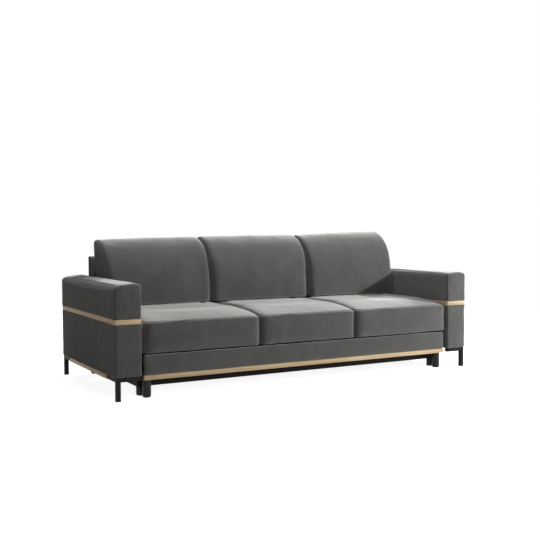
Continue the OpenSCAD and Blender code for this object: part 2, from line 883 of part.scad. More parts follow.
module back_cover() {
    color(velvet) difference() {
        side_plate([-ear_x, ear_x]) back_outline(panel_t);
        ear_notches();
        block(
            [-back_frame_x, back_frame_x],
            [panel_front + panel_pad_t, panel_rear + overrun],
            back_frame_z
        );
        block(
            [-ear_x - overrun, ear_x + overrun],
            [panel_rear - rear_cover_t, panel_rear + overrun],
            [panel_z - overrun, panel_top - panel_top_r]
        );
    }
}

module back_rear_cover() {
    color(velvet) difference() {
        block(
            [-ear_x, ear_x],
            [panel_rear - rear_cover_t, panel_rear],
            [panel_z, panel_top - panel_top_r]
        );
        ear_notches();
    }
}

module back_frame_rails() {
    color(beech) for (z = [back_frame_z[0], back_frame_z[1] - back_rail_h])
        block([-back_frame_x, back_frame_x], back_frame_y, [z, z + back_rail_h]);
}

module back_frame_posts() {
    span = 2 * back_frame_x - back_post_w;
    color(beech) for (s = back_post_shares)
        translate([-back_frame_x + span * s, back_frame_y[0], back_frame_z[0] + back_rail_h])
            cube([back_post_w, back_rail_d, back_frame_z[1] - back_frame_z[0] - 2 * back_rail_h]);
}

module back_springs() {
    span = [back_frame_z[0] + back_rail_h, back_frame_z[1] - back_rail_h];
    color(zinc) for (x = spring_xs(back_spring_count, back_frame_x))
        translate([x, back_frame_y[0] - rest_gap, span[0]])
            rotate([90, 0, 0]) wave_spring(span[1] - span[0]);
}

// Plate on the panel's side, with the pivot pin and the guide pin
module back_hinge(side) {
    color(zinc) sided(side) {
        side_plate(hinge_x) {
            translate([pivot_y - hinge_plate_r, pivot_z]) square([2 * hinge_plate_r, guide_arm]);
            translate([pivot_y, pivot_z]) circle(hinge_plate_r);
            translate([pivot_y, guide_z]) circle(hinge_plate_r);
        }
        x_rod(pin_r, [hinge_x[0], bracket_x[1] + pin_head_gap + pin_head_t], pivot_y, pivot_z);
        x_rod(
            pin_head_r,
            [bracket_x[1] + pin_head_gap, bracket_x[1] + pin_head_gap + pin_head_t],
            pivot_y, pivot_z
        );
        x_rod(pin_r, [hinge_x[0], track_x[1] - guide_pin_gap], pivot_y, guide_z);
    }
}

seat_outer_x = seat_x - seat_outer_w / 2;
back_outer_x = back_cushion_x - back_outer_w / 2;

arm_frame(-1);  // left_arm_frame
arm_frame(1);  // right_arm_frame
arm_lower_cover(-1);  // left_arm_lower_cover
arm_lower_cover(1);  // right_arm_lower_cover
arm_oak_band(-1);  // left_arm_oak_band
arm_oak_band(1);  // right_arm_oak_band
arm_upper_pad(-1);  // left_arm_upper_pad
arm_upper_pad(1);  // right_arm_upper_pad
arm_base_bar(-1);  // left_arm_base_bar
arm_base_bar(1);  // right_arm_base_bar
arm_bar_returns();
arm_oak_inlay(-1);  // left_arm_oak_inlay
arm_oak_inlay(1);  // right_arm_oak_inlay
arm_legs(-1);  // left_arm_legs
arm_legs(1);  // right_arm_legs
arm_leg_glides();
arm_bolts();
base_front_board();
base_rear_board();
base_side_board(-1);  // left_base_board
base_side_board(1);  // right_base_board
base_cross_rails();
base_corner_blocks();
base_legs();
base_leg_glides();
roller_channel(-1);  // left_roller_channel
roller_channel(1);  // right_roller_channel
guide_track(-1);  // left_guide_track
guide_track(1);  // right_guide_track
track_screws();
seat_front_rail();
seat_rear_rail();
seat_side_rail(-1);  // left_seat_rail
seat_side_rail(1);  // right_seat_rail
seat_cross_rails();
seat_springs();
seat_apron();
seat_oak_strip();
seat_cushion(seat_outer_w, -seat_outer_x);  // left_seat_cushion
seat_cushion(seat_mid_w, 0);  // middle_seat_cushion
seat_cushion(seat_outer_w, seat_outer_x);  // right_seat_cushion
seat_legs();
seat_leg_glides();
pivot_bracket(-1);  // left_pivot_bracket
pivot_bracket(1);  // right_pivot_bracket
roller_arm(-1);  // left_roller_arm
roller_arm(1);  // right_roller_arm
roller(-1);  // left_roller
roller(1);  // right_roller
back_frame_rails();
back_frame_posts();
back_springs();
back_cover();
back_rear_cover();
back_hinge(-1);  // left_back_hinge
back_hinge(1);  // right_back_hinge
back_cushion(back_outer_w, -back_outer_x);  // left_back_cushion
back_cushion(back_mid_w, 0);  // middle_back_cushion
back_cushion(back_outer_w, back_outer_x);  // right_back_cushion
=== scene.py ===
"""Fold-flat sofa bed in dark grey velvet, with box arms banded in oak, a pull-out seat and a folding back.

All sizes are in metres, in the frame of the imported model: X along the sofa, Y to its rear, Z up.
"""

import logging
import math
from dataclasses import dataclass, field
from enum import Enum
from typing import Callable

import bmesh
import bpy
from mathutils import Matrix, Vector, noise


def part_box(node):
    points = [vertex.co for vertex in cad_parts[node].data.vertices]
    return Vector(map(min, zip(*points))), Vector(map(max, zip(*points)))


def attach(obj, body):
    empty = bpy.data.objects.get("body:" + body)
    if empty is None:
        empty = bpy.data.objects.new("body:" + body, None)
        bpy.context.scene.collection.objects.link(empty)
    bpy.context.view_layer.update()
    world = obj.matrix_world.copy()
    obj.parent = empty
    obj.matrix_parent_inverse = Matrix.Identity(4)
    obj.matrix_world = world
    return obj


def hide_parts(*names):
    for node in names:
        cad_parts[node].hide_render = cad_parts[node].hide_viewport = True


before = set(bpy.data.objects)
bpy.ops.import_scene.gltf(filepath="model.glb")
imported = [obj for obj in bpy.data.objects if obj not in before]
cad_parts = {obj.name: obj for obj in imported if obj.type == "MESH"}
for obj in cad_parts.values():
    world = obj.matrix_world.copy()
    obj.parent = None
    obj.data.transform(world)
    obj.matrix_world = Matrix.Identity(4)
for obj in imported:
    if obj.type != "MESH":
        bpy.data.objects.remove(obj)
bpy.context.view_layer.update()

log = logging.getLogger("sofa_bed")

Colour = tuple[float, float, float, float]
Triple = tuple[float, float, float]
Outline = list[tuple[float, float]]
Ring = list[Triple]
Socket = bpy.types.NodeSocket
PointTest = Callable[[Vector], bool]
PartTest = Callable[[bmesh.types.BMFace | bmesh.types.BMEdge], bool]

# Two places closer than this count as one
RIM = 0.0001
# Radius of the holes for the arm bolts, and of those for the track screws
BOLT_HOLE = 0.0046
SCREW_HOLE = 0.0031
# Largest distance between two points of one bolt or screw, seen from its end
FASTENER_REACH = 0.03
# How far from a cut hollow the padding's faces still belong to it
CORE_SPARE = 0.002
# Level at which the back panel gets wider, over the hinges
EAR_FOOT = 0.600


class Axis(Enum):
    """A direction along the sofa, and the number of its coordinate."""

    X = 0
    Y = 1
    Z = 2

    def unit(self) -> Vector:
        """Give the direction as a vector of length one."""
        return Vector([float(k == self.value) for k in range(3)])


class Side(Enum):
    """One end of the sofa, seen from the front, with the sign of its X."""

    LEFT = -1
    RIGHT = 1

    @property
    def word(self) -> str:
        """The side's name as it stands in the node names."""
        return self.name.lower()


class Element(Enum):
    """A kind of mesh part, with the name of its list in the mesh."""

    FACE = "faces"
    EDGE = "edges"


class Meeting(Enum):
    """What a second closed shape does to the first."""

    ADDS = "UNION"
    CUTS = "DIFFERENCE"


# Colour and node helpers


def linear(code: str) -> Colour:
    """Turn an sRGB hex colour into linear numbers.

    Args:
        code: Six hex digits after a hash sign.

    Returns:
        Red, green, blue and an alpha of one.
    """
    parts = [int(code[i:i + 2], 16) / 255 for i in (1, 3, 5)]
    r, g, b = [v / 12.92 if v <= 0.04045 else ((v + 0.055) / 1.055) ** 2.4 for v in parts]
    return (r, g, b, 1.0)


def add_node(
    tree: bpy.types.NodeTree,
    kind: str,
    settings: dict[str | int, object] | None = None,
    links: dict[str | int, Socket] | None = None,
) -> bpy.types.Node:
    """Add one shader node with its settings and what feeds it.

    Args:
        tree: The node tree of the material or world.
        kind: The node's type.
        settings: Values by the name of a property, or by the name or number of an input.
        links: Output sockets by the name or number of the input that each feeds.

    Returns:
        The new node.
    """
    node = tree.nodes.new(kind)
    for key, value in (settings or {}).items():
        if isinstance(key, int) or key in node.inputs:
            node.inputs[key].default_value = value
        else:
            setattr(node, key, value)
    for key, socket in (links or {}).items():
        tree.links.new(socket, node.inputs[key])
    return node


@dataclass
class Layout:
    """The nodes of one finish: their tree, the shader, and the place that the patterns follow."""

    tree: bpy.types.NodeTree
    shader: bpy.types.Node
    place: Socket

    def clouds(self, scale: float, detail: float, roughness: float, distortion: float = 0.0) -> Socket:
        """Add a cloudy pattern.

        Args:
            scale: How many swells it has to the metre.
            detail: How many finer layers it has.
            roughness: How strong the finer layers are.
            distortion: How far it is swirled.

        Returns:
            The pattern.
        """
        settings = {"Scale": scale, "Detail": detail, "Roughness": roughness, "Distortion": distortion}
        return add_node(self.tree, "ShaderNodeTexNoise", settings, {"Vector": self.place}).outputs["Fac"]

    def overlay(self, top: Socket, share: float, under: Socket) -> Socket:
        """Add a share of one pattern to another."""
        settings = {"operation": "MULTIPLY_ADD", 1: share}
        return add_node(self.tree, "ShaderNodeMath", settings, {0: top, 2: under}).outputs["Value"]

    def between(self, pattern: Socket, low: float, high: float) -> Socket:
        """Turn a pattern into a value between two others."""
        settings = {"To Min": low, "To Max": high}
        return add_node(self.tree, "ShaderNodeMapRange", settings, {"Value": pattern}).outputs["Result"]

    def bump(self, pattern: Socket, strength: float, height: float, invert: bool = False) -> Socket:
        """Raise the face where a pattern is high, or sink it there."""
        settings = {"Strength": strength, "Distance": height, "invert": invert}
        return add_node(self.tree, "ShaderNodeBump", settings, {"Height": pattern}).outputs["Normal"]

    def tones(self, pattern: Socket, low: tuple[float, Colour], high: tuple[float, Colour]) -> Socket:
        """Turn a pattern into a blend of two tones.

        Args:
            pattern: The pattern.
            low: The value up to which the first tone is pure, and that tone.
            high: The value from which the second tone is pure, and that tone.

        Returns:
            The colour.
        """
        node = add_node(self.tree, "ShaderNodeValToRGB", {}, {"Fac": pattern})
        for element, (place, colour) in zip(node.color_ramp.elements, (low, high)):
            element.position = place
            element.color = colour
        return node.outputs["Color"]

    def feed(self, inputs: dict[str, Socket | float | Colour]) -> None:
        """Set the shader's inputs.

        Args:
            inputs: By name, the pattern that feeds each input, or its plain value.
        """
        for name, value in inputs.items():
            if isinstance(value, Socket):
                self.tree.links.new(value, self.shader.inputs[name])
            else:
                self.shader.inputs[name].default_value = value


# Finishes


@dataclass(frozen=True)
class Finish:
    """A material's name, and where its pattern sits on the piece."""

    name: str
    shift: Triple = (0.0, 0.0, 0.0)
    stretch: Triple = (1.0, 1.0, 1.0)

    def start(self) -> Layout:
        """Begin the material.

        Returns:
            Its node tree with the Principled shader and a Mapping node on Object coordinates.
        """
        material = bpy.data.materials.new(self.name)
        material.use_nodes = True
        tree = material.node_tree
        place = add_node(tree, "ShaderNodeTexCoord").outputs["Object"]
        mapping = add_node(
            tree, "ShaderNodeMapping", {"Location": self.shift, "Scale": self.stretch}, {"Vector": place}
        )
        return Layout(tree, tree.nodes["Principled BSDF"], mapping.outputs["Vector"])

    def build(self) -> bpy.types.Material:
        """Make the material once and hand the same one out after that."""
        known = bpy.data.materials.get(self.name)
        if known is None:
            self.compose()
            known = bpy.data.materials[self.name]
        return known

    def compose(self) -> None:
        """Lay out the finish's own nodes."""
        raise NotImplementedError


@dataclass(frozen=True)
class Velvet(Finish):
    """Woven polyester velvet with a short brushed pile.

    The pile stands up, so the face is dull and dark seen straight on and pale at a slant. Hands leave soft
    patches about 130 mm wide, and strokes about 34 mm wide, where the pile lies another way. These are
    painted
    sheen: lighter and darker tone in the base colour that stands for light catching the pile laid another
    way.
    """

    dark: str = "#343433"
    pale: str = "#454543"
    patch_mm: float = 130.0
    stroke_mm: float = 34.0
    pile_mm: float = 2.6

    def compose(self) -> None:
        """Lay out the velvet's nodes."""
        sheet = self.start()
        patches = sheet.clouds(1000 / self.patch_mm, 3.0, 0.55, 0.6)
        strokes = sheet.clouds(1000 / self.stroke_mm, 4.0, 0.6, 1.2)
        pile = sheet.clouds(1000 / self.pile_mm, 2.0, 0.7)
        # Painted sheen: the patches and strokes lighten and darken the base colour as light would catch pile
        # laid another way
        tone = sheet.overlay(pile, 0.10, sheet.overlay(strokes, 0.20, patches))
        sheet.feed({
            "Base Color": sheet.tones(tone, (0.48, linear(self.dark)), (0.84, linear(self.pale))),
            "Normal": sheet.bump(sheet.overlay(strokes, 0.25, pile), 0.35, 0.0006),
            "Roughness": 0.92, "Specular IOR Level": 0.0,
            "Sheen Weight": 0.9, "Sheen Roughness": 0.66, "Sheen Tint": linear("#f2f1ee"),
        })


@dataclass(frozen=True)
class Oak(Finish):
    """Planed light oak under a satin clear lacquer.

    Long fine pores about 1.6 mm apart run with the slat, and the growth rings give soft bands 7 mm apart.
    """

    pale: str = "#ecd4ad"
    warm: str = "#d6b488"
    pore: str = "#b08f64"
    ring_mm: float = 7.0
    pore_mm: float = 1.6
    pore_share: float = 0.45

    def compose(self) -> None:
        """Lay out the oak's nodes."""
        sheet = self.start()
        rings = sheet.clouds(1000 / self.ring_mm, 3.0, 0.5, 0.4)
        pores = sheet.clouds(1000 / self.pore_mm, 3.0, 0.65)
        face = sheet.tones(rings, (0.32, linear(self.warm)), (0.62, linear(self.pale)))
        marks = sheet.tones(pores, (0.36, (1, 1, 1, 1)), (0.48, (0, 0, 0, 1)))
        share = add_node(
            sheet.tree, "ShaderNodeMath", {"operation": "MULTIPLY", 1: self.pore_share}, {0: marks}
        )
        mixed = add_node(
            sheet.tree, "ShaderNodeMix", {"data_type": "RGBA", 7: linear(self.pore)},
            {0: share.outputs["Value"], 6: face},
        )
        sheet.feed({
            "Base Color": mixed.outputs[2],
            "Roughness": sheet.between(pores, 0.42, 0.58),
            "Normal": sheet.bump(marks, 0.25, 0.0003, invert=True),
            "IOR": 1.5, "Specular IOR Level": 0.2,
        })


@dataclass(frozen=True)
class Speckled(Finish):
    """A finish of two close tones with a fine grit, such as powder coat, lacquer or moulded plastic."""

    dark: str = "#1a1614"
    pale: str = "#26211f"
    grain_mm: float = 2.0
    roughness: float = 0.5
    spread: float = 0.08
    metallic: float = 0.0
    ior: float = 1.5
    specular: float = 0.5
    relief_mm: float = 0.08
    coat: float = 0.0

    def compose(self) -> None:
        """Lay out the nodes for the two tones, the grit and the roughness."""
        sheet = self.start()
        grit = sheet.clouds(1000 / self.grain_mm, 3.0, 0.6)
        haze = sheet.clouds(60 / self.grain_mm, 2.0, 0.5)
        tone = sheet.overlay(grit, 0.5, haze)
        sheet.feed({
            "Base Color": sheet.tones(tone, (0.55, linear(self.dark)), (0.95, linear(self.pale))),
            "Roughness": sheet.between(haze, self.roughness - self.spread, self.roughness + self.spread),
            "Normal": sheet.bump(grit, 0.3, self.relief_mm / 1000),
            "Metallic": self.metallic, "IOR": self.ior,
            "Specular IOR Level": self.specular, "Coat Weight": self.coat,
        })


def planed_beech(name: str, grain: Triple) -> Speckled:
    """Give planed beech, unfinished, with its grain along the piece."""
    return Speckled(name, stretch=grain, dark="#c39a68", pale="#ddbc8e", roughness=0.6, relief_mm=0.1)


# Grain runs along the slat, so the pattern is squeezed to a fortieth along it
GRAIN_X = (0.025, 1.0, 1.0)
GRAIN_Y = (1.0, 0.025, 1.0)
GRAIN_Z = (1.0, 1.0, 0.025)

VELVET_SEAT = Velvet("velvet_brushed_seat", stretch=(1.0, 0.7, 1.0))
VELVET_BACK = Velvet("velvet_brushed_back", shift=(3.1, 0.4, 1.7), stretch=(1.0, 1.0, 0.7))
VELVET_ARM = Velvet("velvet_brushed_arm", shift=(7.3, 2.1, 0.6), stretch=(1.3, 1.0, 0.8))
VELVET_PANEL = Velvet("velvet_brushed_panel", shift=(1.7, 5.2, 3.3))
OAK_LONG = Oak("oak_lacquered_along_x", stretch=GRAIN_X)
OAK_DEEP = Oak("oak_lacquered_along_y", stretch=GRAIN_Y)
# Powder coat: baked, with a fine orange peel that softens the highlight
POWDER_COAT = Speckled(
    "steel_powder_coated", dark="#1b1817", pale="#252120", grain_mm=1.6, roughness=0.62, specular=0.12,
    relief_mm=0.06
)
# Black lacquer over turned beech: smoother than the powder coat, with a clear coat
BLACK_LACQUER = Speckled(
    "beech_turned_black_lacquer", stretch=GRAIN_Z, dark="#171514", pale="#201d1c", roughness=0.42,
    specular=0.2, coat=0.05
)
# Melamine-faced chipboard with a faint printed grain
DARK_LAMINATE = Speckled(
    "board_dark_laminate", stretch=GRAIN_X, dark="#120e0c", pale="#1c1613", grain_mm=2.4, roughness=0.55,
    specular=0.1
)
# Moulded plastics, dyed black through and through: matt glides and smoother rollers
GLIDE_PLASTIC = Speckled(
    "polypropylene_moulded_glide", dark="#111111", pale="#1b1b1b", roughness=0.55, specular=0.2
)
ROLLER_NYLON = Speckled("nylon_moulded_roller", dark="#141414", pale="#202020", roughness=0.45)
# Chipboard: pressed chips 3 mm long in mixed straw tones, unfinished
CHIPBOARD = Speckled(
    "chipboard_raw", dark="#a98a5f", pale="#d6bd8f", grain_mm=3.0, roughness=0.85, relief_mm=0.3
)
BEECH_LONG = planed_beech("beech_planed_along_x", GRAIN_X)
BEECH_DEEP = planed_beech("beech_planed_along_y", GRAIN_Y)
BEECH_TALL = planed_beech("beech_planed_along_z", GRAIN_Z)
# Beech rails wrapped in black spunbond lining, dull and slightly fibrous: partly a real lining, and partly
# painted shade, near black so that the gaps round the seat read as deep shade and no pale wood shows there
LINED_BEECH_GAP_SHADE = Speckled(
    "beech_wrapped_black_lining", dark="#0f0f0f", pale="#1a1a19", grain_mm=1.5, roughness=0.95, relief_mm=0.15
)
# Zinc plate: bright pressed steel with a faint cloudy spangle
ZINC_STEEL = Speckled(
    "steel_zinc_plated", dark="#8d9092", pale="#c2c5c6", grain_mm=2.5, roughness=0.36, metallic=1.0,
    relief_mm=0.03
)
# Drawn wire, oiled and darker than the plated parts
SPRING_WIRE = Speckled(
    "steel_drawn_spring", dark="#5c5d5f", pale="#8b8d8f", grain_mm=1.0, roughness=0.34, metallic=1.0,
    relief_mm=0.02
)

# Nodes that come in a left and a right one
PAIR_FINISHES: dict[str, Finish] = {
    "arm_frame": CHIPBOARD, "roller_channel": ZINC_STEEL, "guide_track": ZINC_STEEL, "seat_rail": LINED_BEECH_GAP_SHADE,
    "pivot_bracket": ZINC_STEEL, "roller_arm": ZINC_STEEL, "roller": ROLLER_NYLON, "back_hinge": ZINC_STEEL,
}
NODE_FINISHES: dict[str, Finish] = {
    "arm_bolts": ZINC_STEEL, "track_screws": ZINC_STEEL,
    "base_cross_rails": BEECH_LONG, "base_corner_blocks": BEECH_TALL,
    "seat_front_rail": LINED_BEECH_GAP_SHADE, "seat_rear_rail": LINED_BEECH_GAP_SHADE, "seat_cross_rails": BEECH_DEEP,
    "seat_springs": SPRING_WIRE, "back_springs": SPRING_WIRE,
    "back_frame_rails": BEECH_LONG, "back_frame_posts": BEECH_TALL,
    **{f"{side.word}_{node}": finish for side in Side for node, finish in PAIR_FINISHES.items()},
}


# Workbench: the operators that every piece is made with


def activate(obj: bpy.types.Object) -> None:
    """Select one object alone and make it the active one."""
    for other in list(bpy.context.selected_objects):
        other.select_set(False)
    obj.select_set(True)
    bpy.context.view_layer.objects.active = obj


def settle(obj: bpy.types.Object) -> bpy.types.Object:
    """Move an object's place, turn and scale into its mesh.

    Args:
        obj: The object.

    Returns:
        The same object, now at the origin.
    """
    activate(obj)
    bpy.ops.object.transform_apply(location=True, rotation=True, scale=True)
    return obj


def new_box(name: str, low: Vector, high: Vector) -> bpy.types.Object:
    """Add a cube between two corners.

    Args:
        name: The new object's name.
        low: Its lowest corner.
        high: Its highest corner.

    Returns:
        The new object, at the origin.
    """
    bpy.ops.mesh.primitive_cube_add(size=1.0, location=(low + high) / 2)
    obj = bpy.context.active_object
    obj.name = obj.data.name = name
    obj.scale = high - low
    return settle(obj)


def new_rod(name: str, radius: float, start: Vector, end: Vector, sides: int = 32) -> bpy.types.Object:
    """Add a cylinder between two points.

    Args:
        name: The new object's name.
        radius: Its radius.
        start: The middle of its first end.
        end: The middle of its last end.
        sides: How many faces go round it.

    Returns:
        The new object, at the origin.
    """
    along = end - start
    bpy.ops.mesh.primitive_cylinder_add(
        vertices=sides, radius=radius, depth=along.length, location=(start + end) / 2,
        rotation=along.to_track_quat("Z", "Y").to_euler(),
    )
    obj = bpy.context.active_object
    obj.name = obj.data.name = name
    return settle(obj)


def edit_all(obj: bpy.types.Object) -> None:
    """Enter edit mode with the whole mesh selected."""
    activate(obj)
    bpy.ops.object.mode_set(mode="EDIT")
    bpy.ops.mesh.select_all(action="SELECT")


def leave_edit() -> None:
    """Go back to object mode."""
    bpy.ops.object.mode_set(mode="OBJECT")


def choose(obj: bpy.types.Object, kind: Element, test: PartTest) -> int:
    """Enter edit mode with only the faces or edges that pass a test selected.

    Args:
        obj: The object.
        kind: Whether faces or edges are selected.
        test: Says whether one of them is wanted.

    Returns:
        How many are selected.
    """
    activate(obj)
    bpy.ops.object.mode_set(mode="EDIT")
    bpy.ops.mesh.select_mode(type=kind.name)
    bpy.ops.mesh.select_all(action="DESELECT")
    mesh = bmesh.from_edit_mesh(obj.data)
    chosen = [part for part in getattr(mesh, kind.value) if test(part)]
    for part in chosen:
        part.select_set(True)
    bmesh.update_edit_mesh(obj.data)
    return len(chosen)


def is_sharp(edge: bmesh.types.BMEdge) -> bool:
    """Say whether an edge turns a corner."""
    return len(edge.link_faces) == 2 and edge.calc_face_angle(0.0) > 0.5


def sharp_at(level: float) -> PartTest:
    """Give a test for the sharp edges at one level."""
    return lambda edge: is_sharp(edge) and all(abs(vertex.co.z - level) < RIM for vertex in edge.verts)


def ease_edges(obj: bpy.types.Object, width: float, test: PartTest = is_sharp, segments: int = 2) -> None:
    """Round the edges that pass a test.

    Args:
        obj: The object.
        width: The width of the rounding.
        test: Says whether an edge is rounded.
        segments: How many faces the rounding has across.
    """
    if choose(obj, Element.EDGE, test):
        bpy.ops.mesh.bevel(offset=width, offset_type="OFFSET", segments=segments, profile=0.5)
    leave_edit()


def cut_plane(obj: bpy.types.Object, point: Vector, normal: Vector, drop_outer: bool = False) -> None:
    """Cut a mesh along a plane.

    Args:
        obj: The object.
        point: A point on the plane.
        normal: The plane's normal.
        drop_outer: Whether the side that the normal points to goes, and the cut is closed.
    """
    edit_all(obj)
    bpy.ops.mesh.bisect(plane_co=point, plane_no=normal, use_fill=drop_outer, clear_outer=drop_outer)
    leave_edit()


def apply_all(obj: bpy.types.Object) -> None:
    """Apply every modifier of an object, in order."""
    activate(obj)
    for modifier in list(obj.modifiers):
        bpy.ops.object.modifier_apply(modifier=modifier.name)


def smooth(obj: bpy.types.Object, degrees: float) -> None:
    """Shade an object smooth, with its sharper edges kept."""
    activate(obj)
    bpy.ops.object.shade_smooth_by_angle(angle=math.radians(degrees))


def join(name: str, pieces: list[bpy.types.Object]) -> bpy.types.Object:
    """Put several objects into one.

    Args:
        name: The name of the result.
        pieces: The objects, of which the first keeps the rest.

    Returns:
        The joined object.
    """
    activate(pieces[0])
    for piece in pieces[1:]:
        piece.select_set(True)
    if len(pieces) > 1:
        bpy.ops.object.join()
    obj = bpy.context.active_object
    obj.name = obj.data.name = name
    return obj


def combine(obj: bpy.types.Object, other: bpy.types.Object, meeting: Meeting) -> None:
    """Add one closed shape to another, or take it away.

    Args:
        obj: The object that changes.
        other: The other shape, which is deleted afterwards.
        meeting: Whether the other shape is added or taken away.
    """
    before = Vector(obj.dimensions)
    modifier = obj.modifiers.new("combine", "BOOLEAN")
    modifier.operation = meeting.value
    modifier.solver = "EXACT"
    modifier.object = other
    apply_all(obj)
    bpy.context.view_layer.update()
    if any(new < 0.9 * old for new, old in zip(obj.dimensions, before)):
        raise RuntimeError(f"{obj.name} lost its shape where it met {other.name}")
    bpy.data.objects.remove(other)


def dress(
    obj: bpy.types.Object, finish: Finish, body: str, node: str, degrees: float = 35.0
) -> None:
    """Shade a finished piece, give it its material and its body, and hide the CAD node that it stands for.

    Args:
        obj: The piece.
        finish: Its material, unless it already has one.
        body: The body that it rides on.
        node: The CAD node that it replaces.
        degrees: The angle over which its edges stay sharp.
    """
    smooth(obj, degrees)
    if not obj.data.materials:
        obj.data.materials.append(finish.build())
    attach(obj, body)
    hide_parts(node)
    log.info("%s: %d faces, rides on %s, replaces %s", obj.name, len(obj.data.polygons), body, node)


# Upholstery: soft pieces are lofted, inflated as cloth, sewn and puckered


def loft(name: str, rings: list[Ring]) -> bpy.types.Object:
    """Close a skin over rings of points, with a fan at each end.

    Args:
        name: The new object's name.
        rings: Rings with as many points each.

    Returns:
        The new object.
    """
    points = [point for ring in rings for point in ring]
    cols = len(rings[0])
    faces = [
        (i * cols + j, (i + 1) * cols + j, (i + 1) * cols + (j + 1) % cols, i * cols + (j + 1) % cols)
        for i in range(len(rings) - 1) for j in range(cols)
    ]
    for ring, first, flip in ((rings[0], 0, False), (rings[-1], (len(rings) - 1) * cols, True)):
        middle = sum((Vector(point) for point in ring), Vector()) / cols
        points.append(tuple(middle))
        hub = len(points) - 1
        for j in range(cols):
            a, b = first + j, first + (j + 1) % cols
            faces.append((hub, b, a) if flip else (hub, a, b))
    mesh = bpy.data.meshes.new(name)
    mesh.from_pydata(points, [], faces)
    obj = bpy.data.objects.new(name, mesh)
    bpy.context.scene.collection.objects.link(obj)
    edit_all(obj)
    bpy.ops.mesh.normals_make_consistent(inside=False)
    leave_edit()
    log.info("%s: lofted from %d rings", name, len(rings))
    return obj


@dataclass
class Seam:
    """A sewn line where a plane meets a soft piece."""

    axis: Axis
    place: float
    depth: float = 0.0030
    width: float = 0.0035
    pucker: float = 0.0007
    wave: float = 0.030
    reach: float = 0.06
    fade: float = 0.022
    loop_reach: float = 0.02
    loop_shares: tuple[float, ...] = (-1.6, -0.8, 0.0, 0.8, 1.6)

    def distance(self, point: Vector) -> float:
        """Give the distance from the seam's plane."""
        return point[self.axis.value] - self.place

    def step(self, point: Vector) -> float:
        """Give how far the cloth moves out at a point, drawn in at the seam and puckered beside it.

        Args:
            point: A point of the cloth.

        Returns:
            The step, which is negative where the cloth moves in.
        """
        off = abs(self.distance(point))
        if off >= self.reach:
            return 0.0
        drawn = self.depth * math.exp(-((off / self.width) ** 2))
        return self.pucker * noise.noise(point / self.wave) * math.exp(-off / self.fade) - drawn


